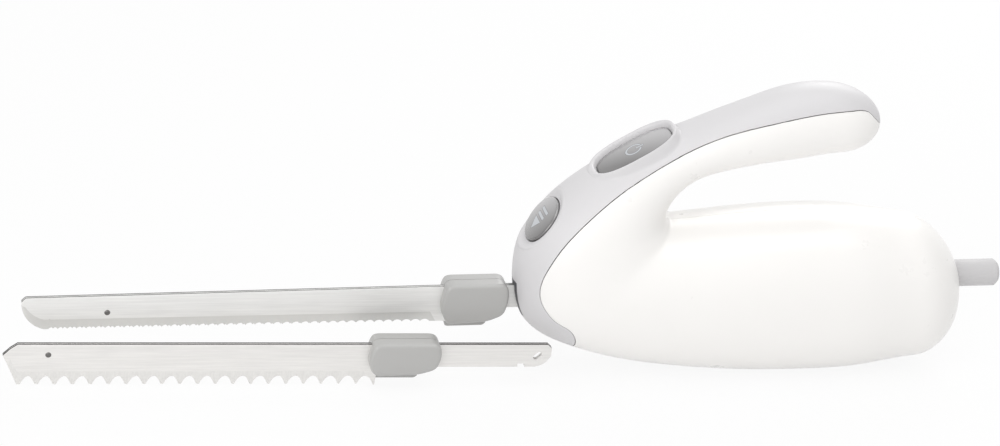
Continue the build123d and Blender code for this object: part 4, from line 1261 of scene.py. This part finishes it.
carving_guard = (guard_front, guard_rear, guard_low, guard_top)
saw_guard = (-spare_guard - 1.8, -1.8, 7, spare_height + 2.8)
for span, place, side, name, body, node in (
    (carving_guard, on_knife, 1, "far_carving_guard", "right_blade", "right_blade_guard"),
    (carving_guard, on_knife, -1, "near_carving_guard", "left_blade", "left_blade_guard"),
    (saw_guard, on_spare, 1, "far_frozen_food_guard", "spare_right", "spare_right_guard"),
    (saw_guard, on_spare, -1, "near_frozen_food_guard", "spare_left", "spare_left_guard"),
):
    make(name, guard(*span, side, place), body, guard_grey, (node,), sharp=50)


# Cord sleeve

sleeve_start = rear_end - sleeve_in
sleeve_end = rear_end + sleeve_out
sleeve_profile = [
    (sleeve_bore, sleeve_start),
    (flange_radius, sleeve_start),
    (flange_radius, sleeve_start + flange_thick),
    (sleeve_radius, sleeve_start + flange_thick),
    (sleeve_radius, sleeve_end - 2.1),
    (sleeve_radius - 0.12, sleeve_end - 1.75),
    (sleeve_radius - 1.75, sleeve_end - 0.12),
    (sleeve_radius - 2.1, sleeve_end),
    (sleeve_bore + 0.4, sleeve_end),
    (sleeve_bore + 0.1, sleeve_end - 0.12),
    (sleeve_bore, sleeve_end - 0.4),
    (sleeve_bore, sleeve_start),
]
sleeve = turned_x(sleeve_z, sleeve_profile)
make("cord_outlet", [sleeve], "body", pale_sleeve, ("cord_sleeve",), sharp=50)


# Inner pieces keep their solids and get finishes

springs = ("power_button_spring", "release_button_spring")
inner_finishes = {
    dark_bezel: ("blade_socket_bezel",),
    black_plastic: ("cord_clamp", "terminal_block", "power_switch"),
    wire_sheath: ("lead_wires",),
    shaft_steel: ("housing_screws", "wheel_axle", "rotor_shaft", *springs),
    filled_nylon: ("gearbox_frame", "motor_bracket", "release_lever"),
    natural_nylon: ("worm_wheel", "eccentric_discs", "left_drive_link", "right_drive_link", "cooling_fan"),
    core_sheets: ("motor_stator", "rotor_core"),
    copper_wire: ("field_coils", "rotor_windings"),
    plain_brass: ("gearbox_bushes", "rear_bush", "brush_holders", "commutator"),
    carbon_dull: ("carbon_brushes",),
}
for material, nodes in inner_finishes.items():
    for node in nodes:
        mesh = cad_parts[node].data
        mesh.materials.clear()
        mesh.materials.append(material)


# Floor, light and camera

scene = bpy.context.scene
scene.view_settings.view_transform = "Standard"


def background(f, strength):
    """White light of a strength, for the world."""
    return f.node("ShaderNodeBackground", {}, {"Color": (1, 1, 1, 1), "Strength": strength})["Background"]


def seen_directly(f):
    """1 for rays from the camera and for those that a gloss or a glass sends on, and 0 for the rest."""
    path = f.node("ShaderNodeLightPath")
    return path["Is Camera Ray"] + path["Is Glossy Ray"] + path["Is Transmission Ray"]


def floor_finish():
    """A pale floor that the camera and reflections see as near white, and that keeps the object's shadow."""
    f = Finish("pale_floor")
    plain = f.node("ShaderNodeBsdfDiffuse", {}, {"Color": (0.86, 0.86, 0.86, 1)})["BSDF"]
    white = f.node("ShaderNodeEmission", {}, {"Color": (1, 1, 1, 1), "Strength": 1.0})["Emission"]
    both = f.node("ShaderNodeMixShader", {}, {0: seen_directly(f) * 0.9, 1: plain, 2: white})["Shader"]
    f.node("ShaderNodeOutputMaterial", {}, {"Surface": both})
    return f.material


half_floor = 12
floor_corners = [(x * half_floor, y * half_floor, 0) for x, y in ((-1, -1), (1, -1), (1, 1), (-1, 1))]
mesh = bpy.data.meshes.new("floor")
mesh.from_pydata(floor_corners, [], [(0, 1, 2, 3)])
floor = bpy.data.objects.new("floor", mesh)
scene.collection.objects.link(floor)
mesh.materials.append(floor_finish())

scene.world = bpy.data.worlds.new("studio")
f = Finish("studio", scene.world)
dim, full = background(f, 0.6), background(f, 1.0)
both = f.node("ShaderNodeMixShader", {}, {0: seen_directly(f), 1: dim, 2: full})["Shader"]
f.node("ShaderNodeOutputWorld", {}, {"Surface": both})


def lamp(name, spot, target, size, watts):
    """A square soft lamp at a spot, turned towards a target. Spots and sizes are in metres."""
    light = bpy.data.lights.new(name, "AREA")
    light.shape = "SQUARE"
    light.size = size
    light.energy = watts
    thing = bpy.data.objects.new(name, light)
    thing.location = spot
    thing.rotation_euler = (Vector(target) - Vector(spot)).to_track_quat("-Z", "Y").to_euler()
    scene.collection.objects.link(thing)


lamp("top_softbox", (0.05, -0.25, 1.3), (0.02, 0, 0.05), size=1.1, watts=5.7)
lamp("front_fill", (-1.0, -1.1, 0.55), (0.0, 0, 0.06), size=0.9, watts=7.6)
lamp("rear_strip", (0.5, 0.95, 0.8), (0.05, 0, 0.08), size=0.7, watts=4.6)

camera = bpy.data.cameras.new("camera")
camera.lens = 122.4
camera.sensor_width = 36
camera.clip_start = 0.05
camera.clip_end = 60
eye = bpy.data.objects.new("camera", camera)
eye.location = (-0.5252, -1.50011, 0.78488)
eye.rotation_euler = (math.radians(65.315), math.radians(-5.1823), math.radians(-11.6148))
scene.collection.objects.link(eye)
scene.camera = eye
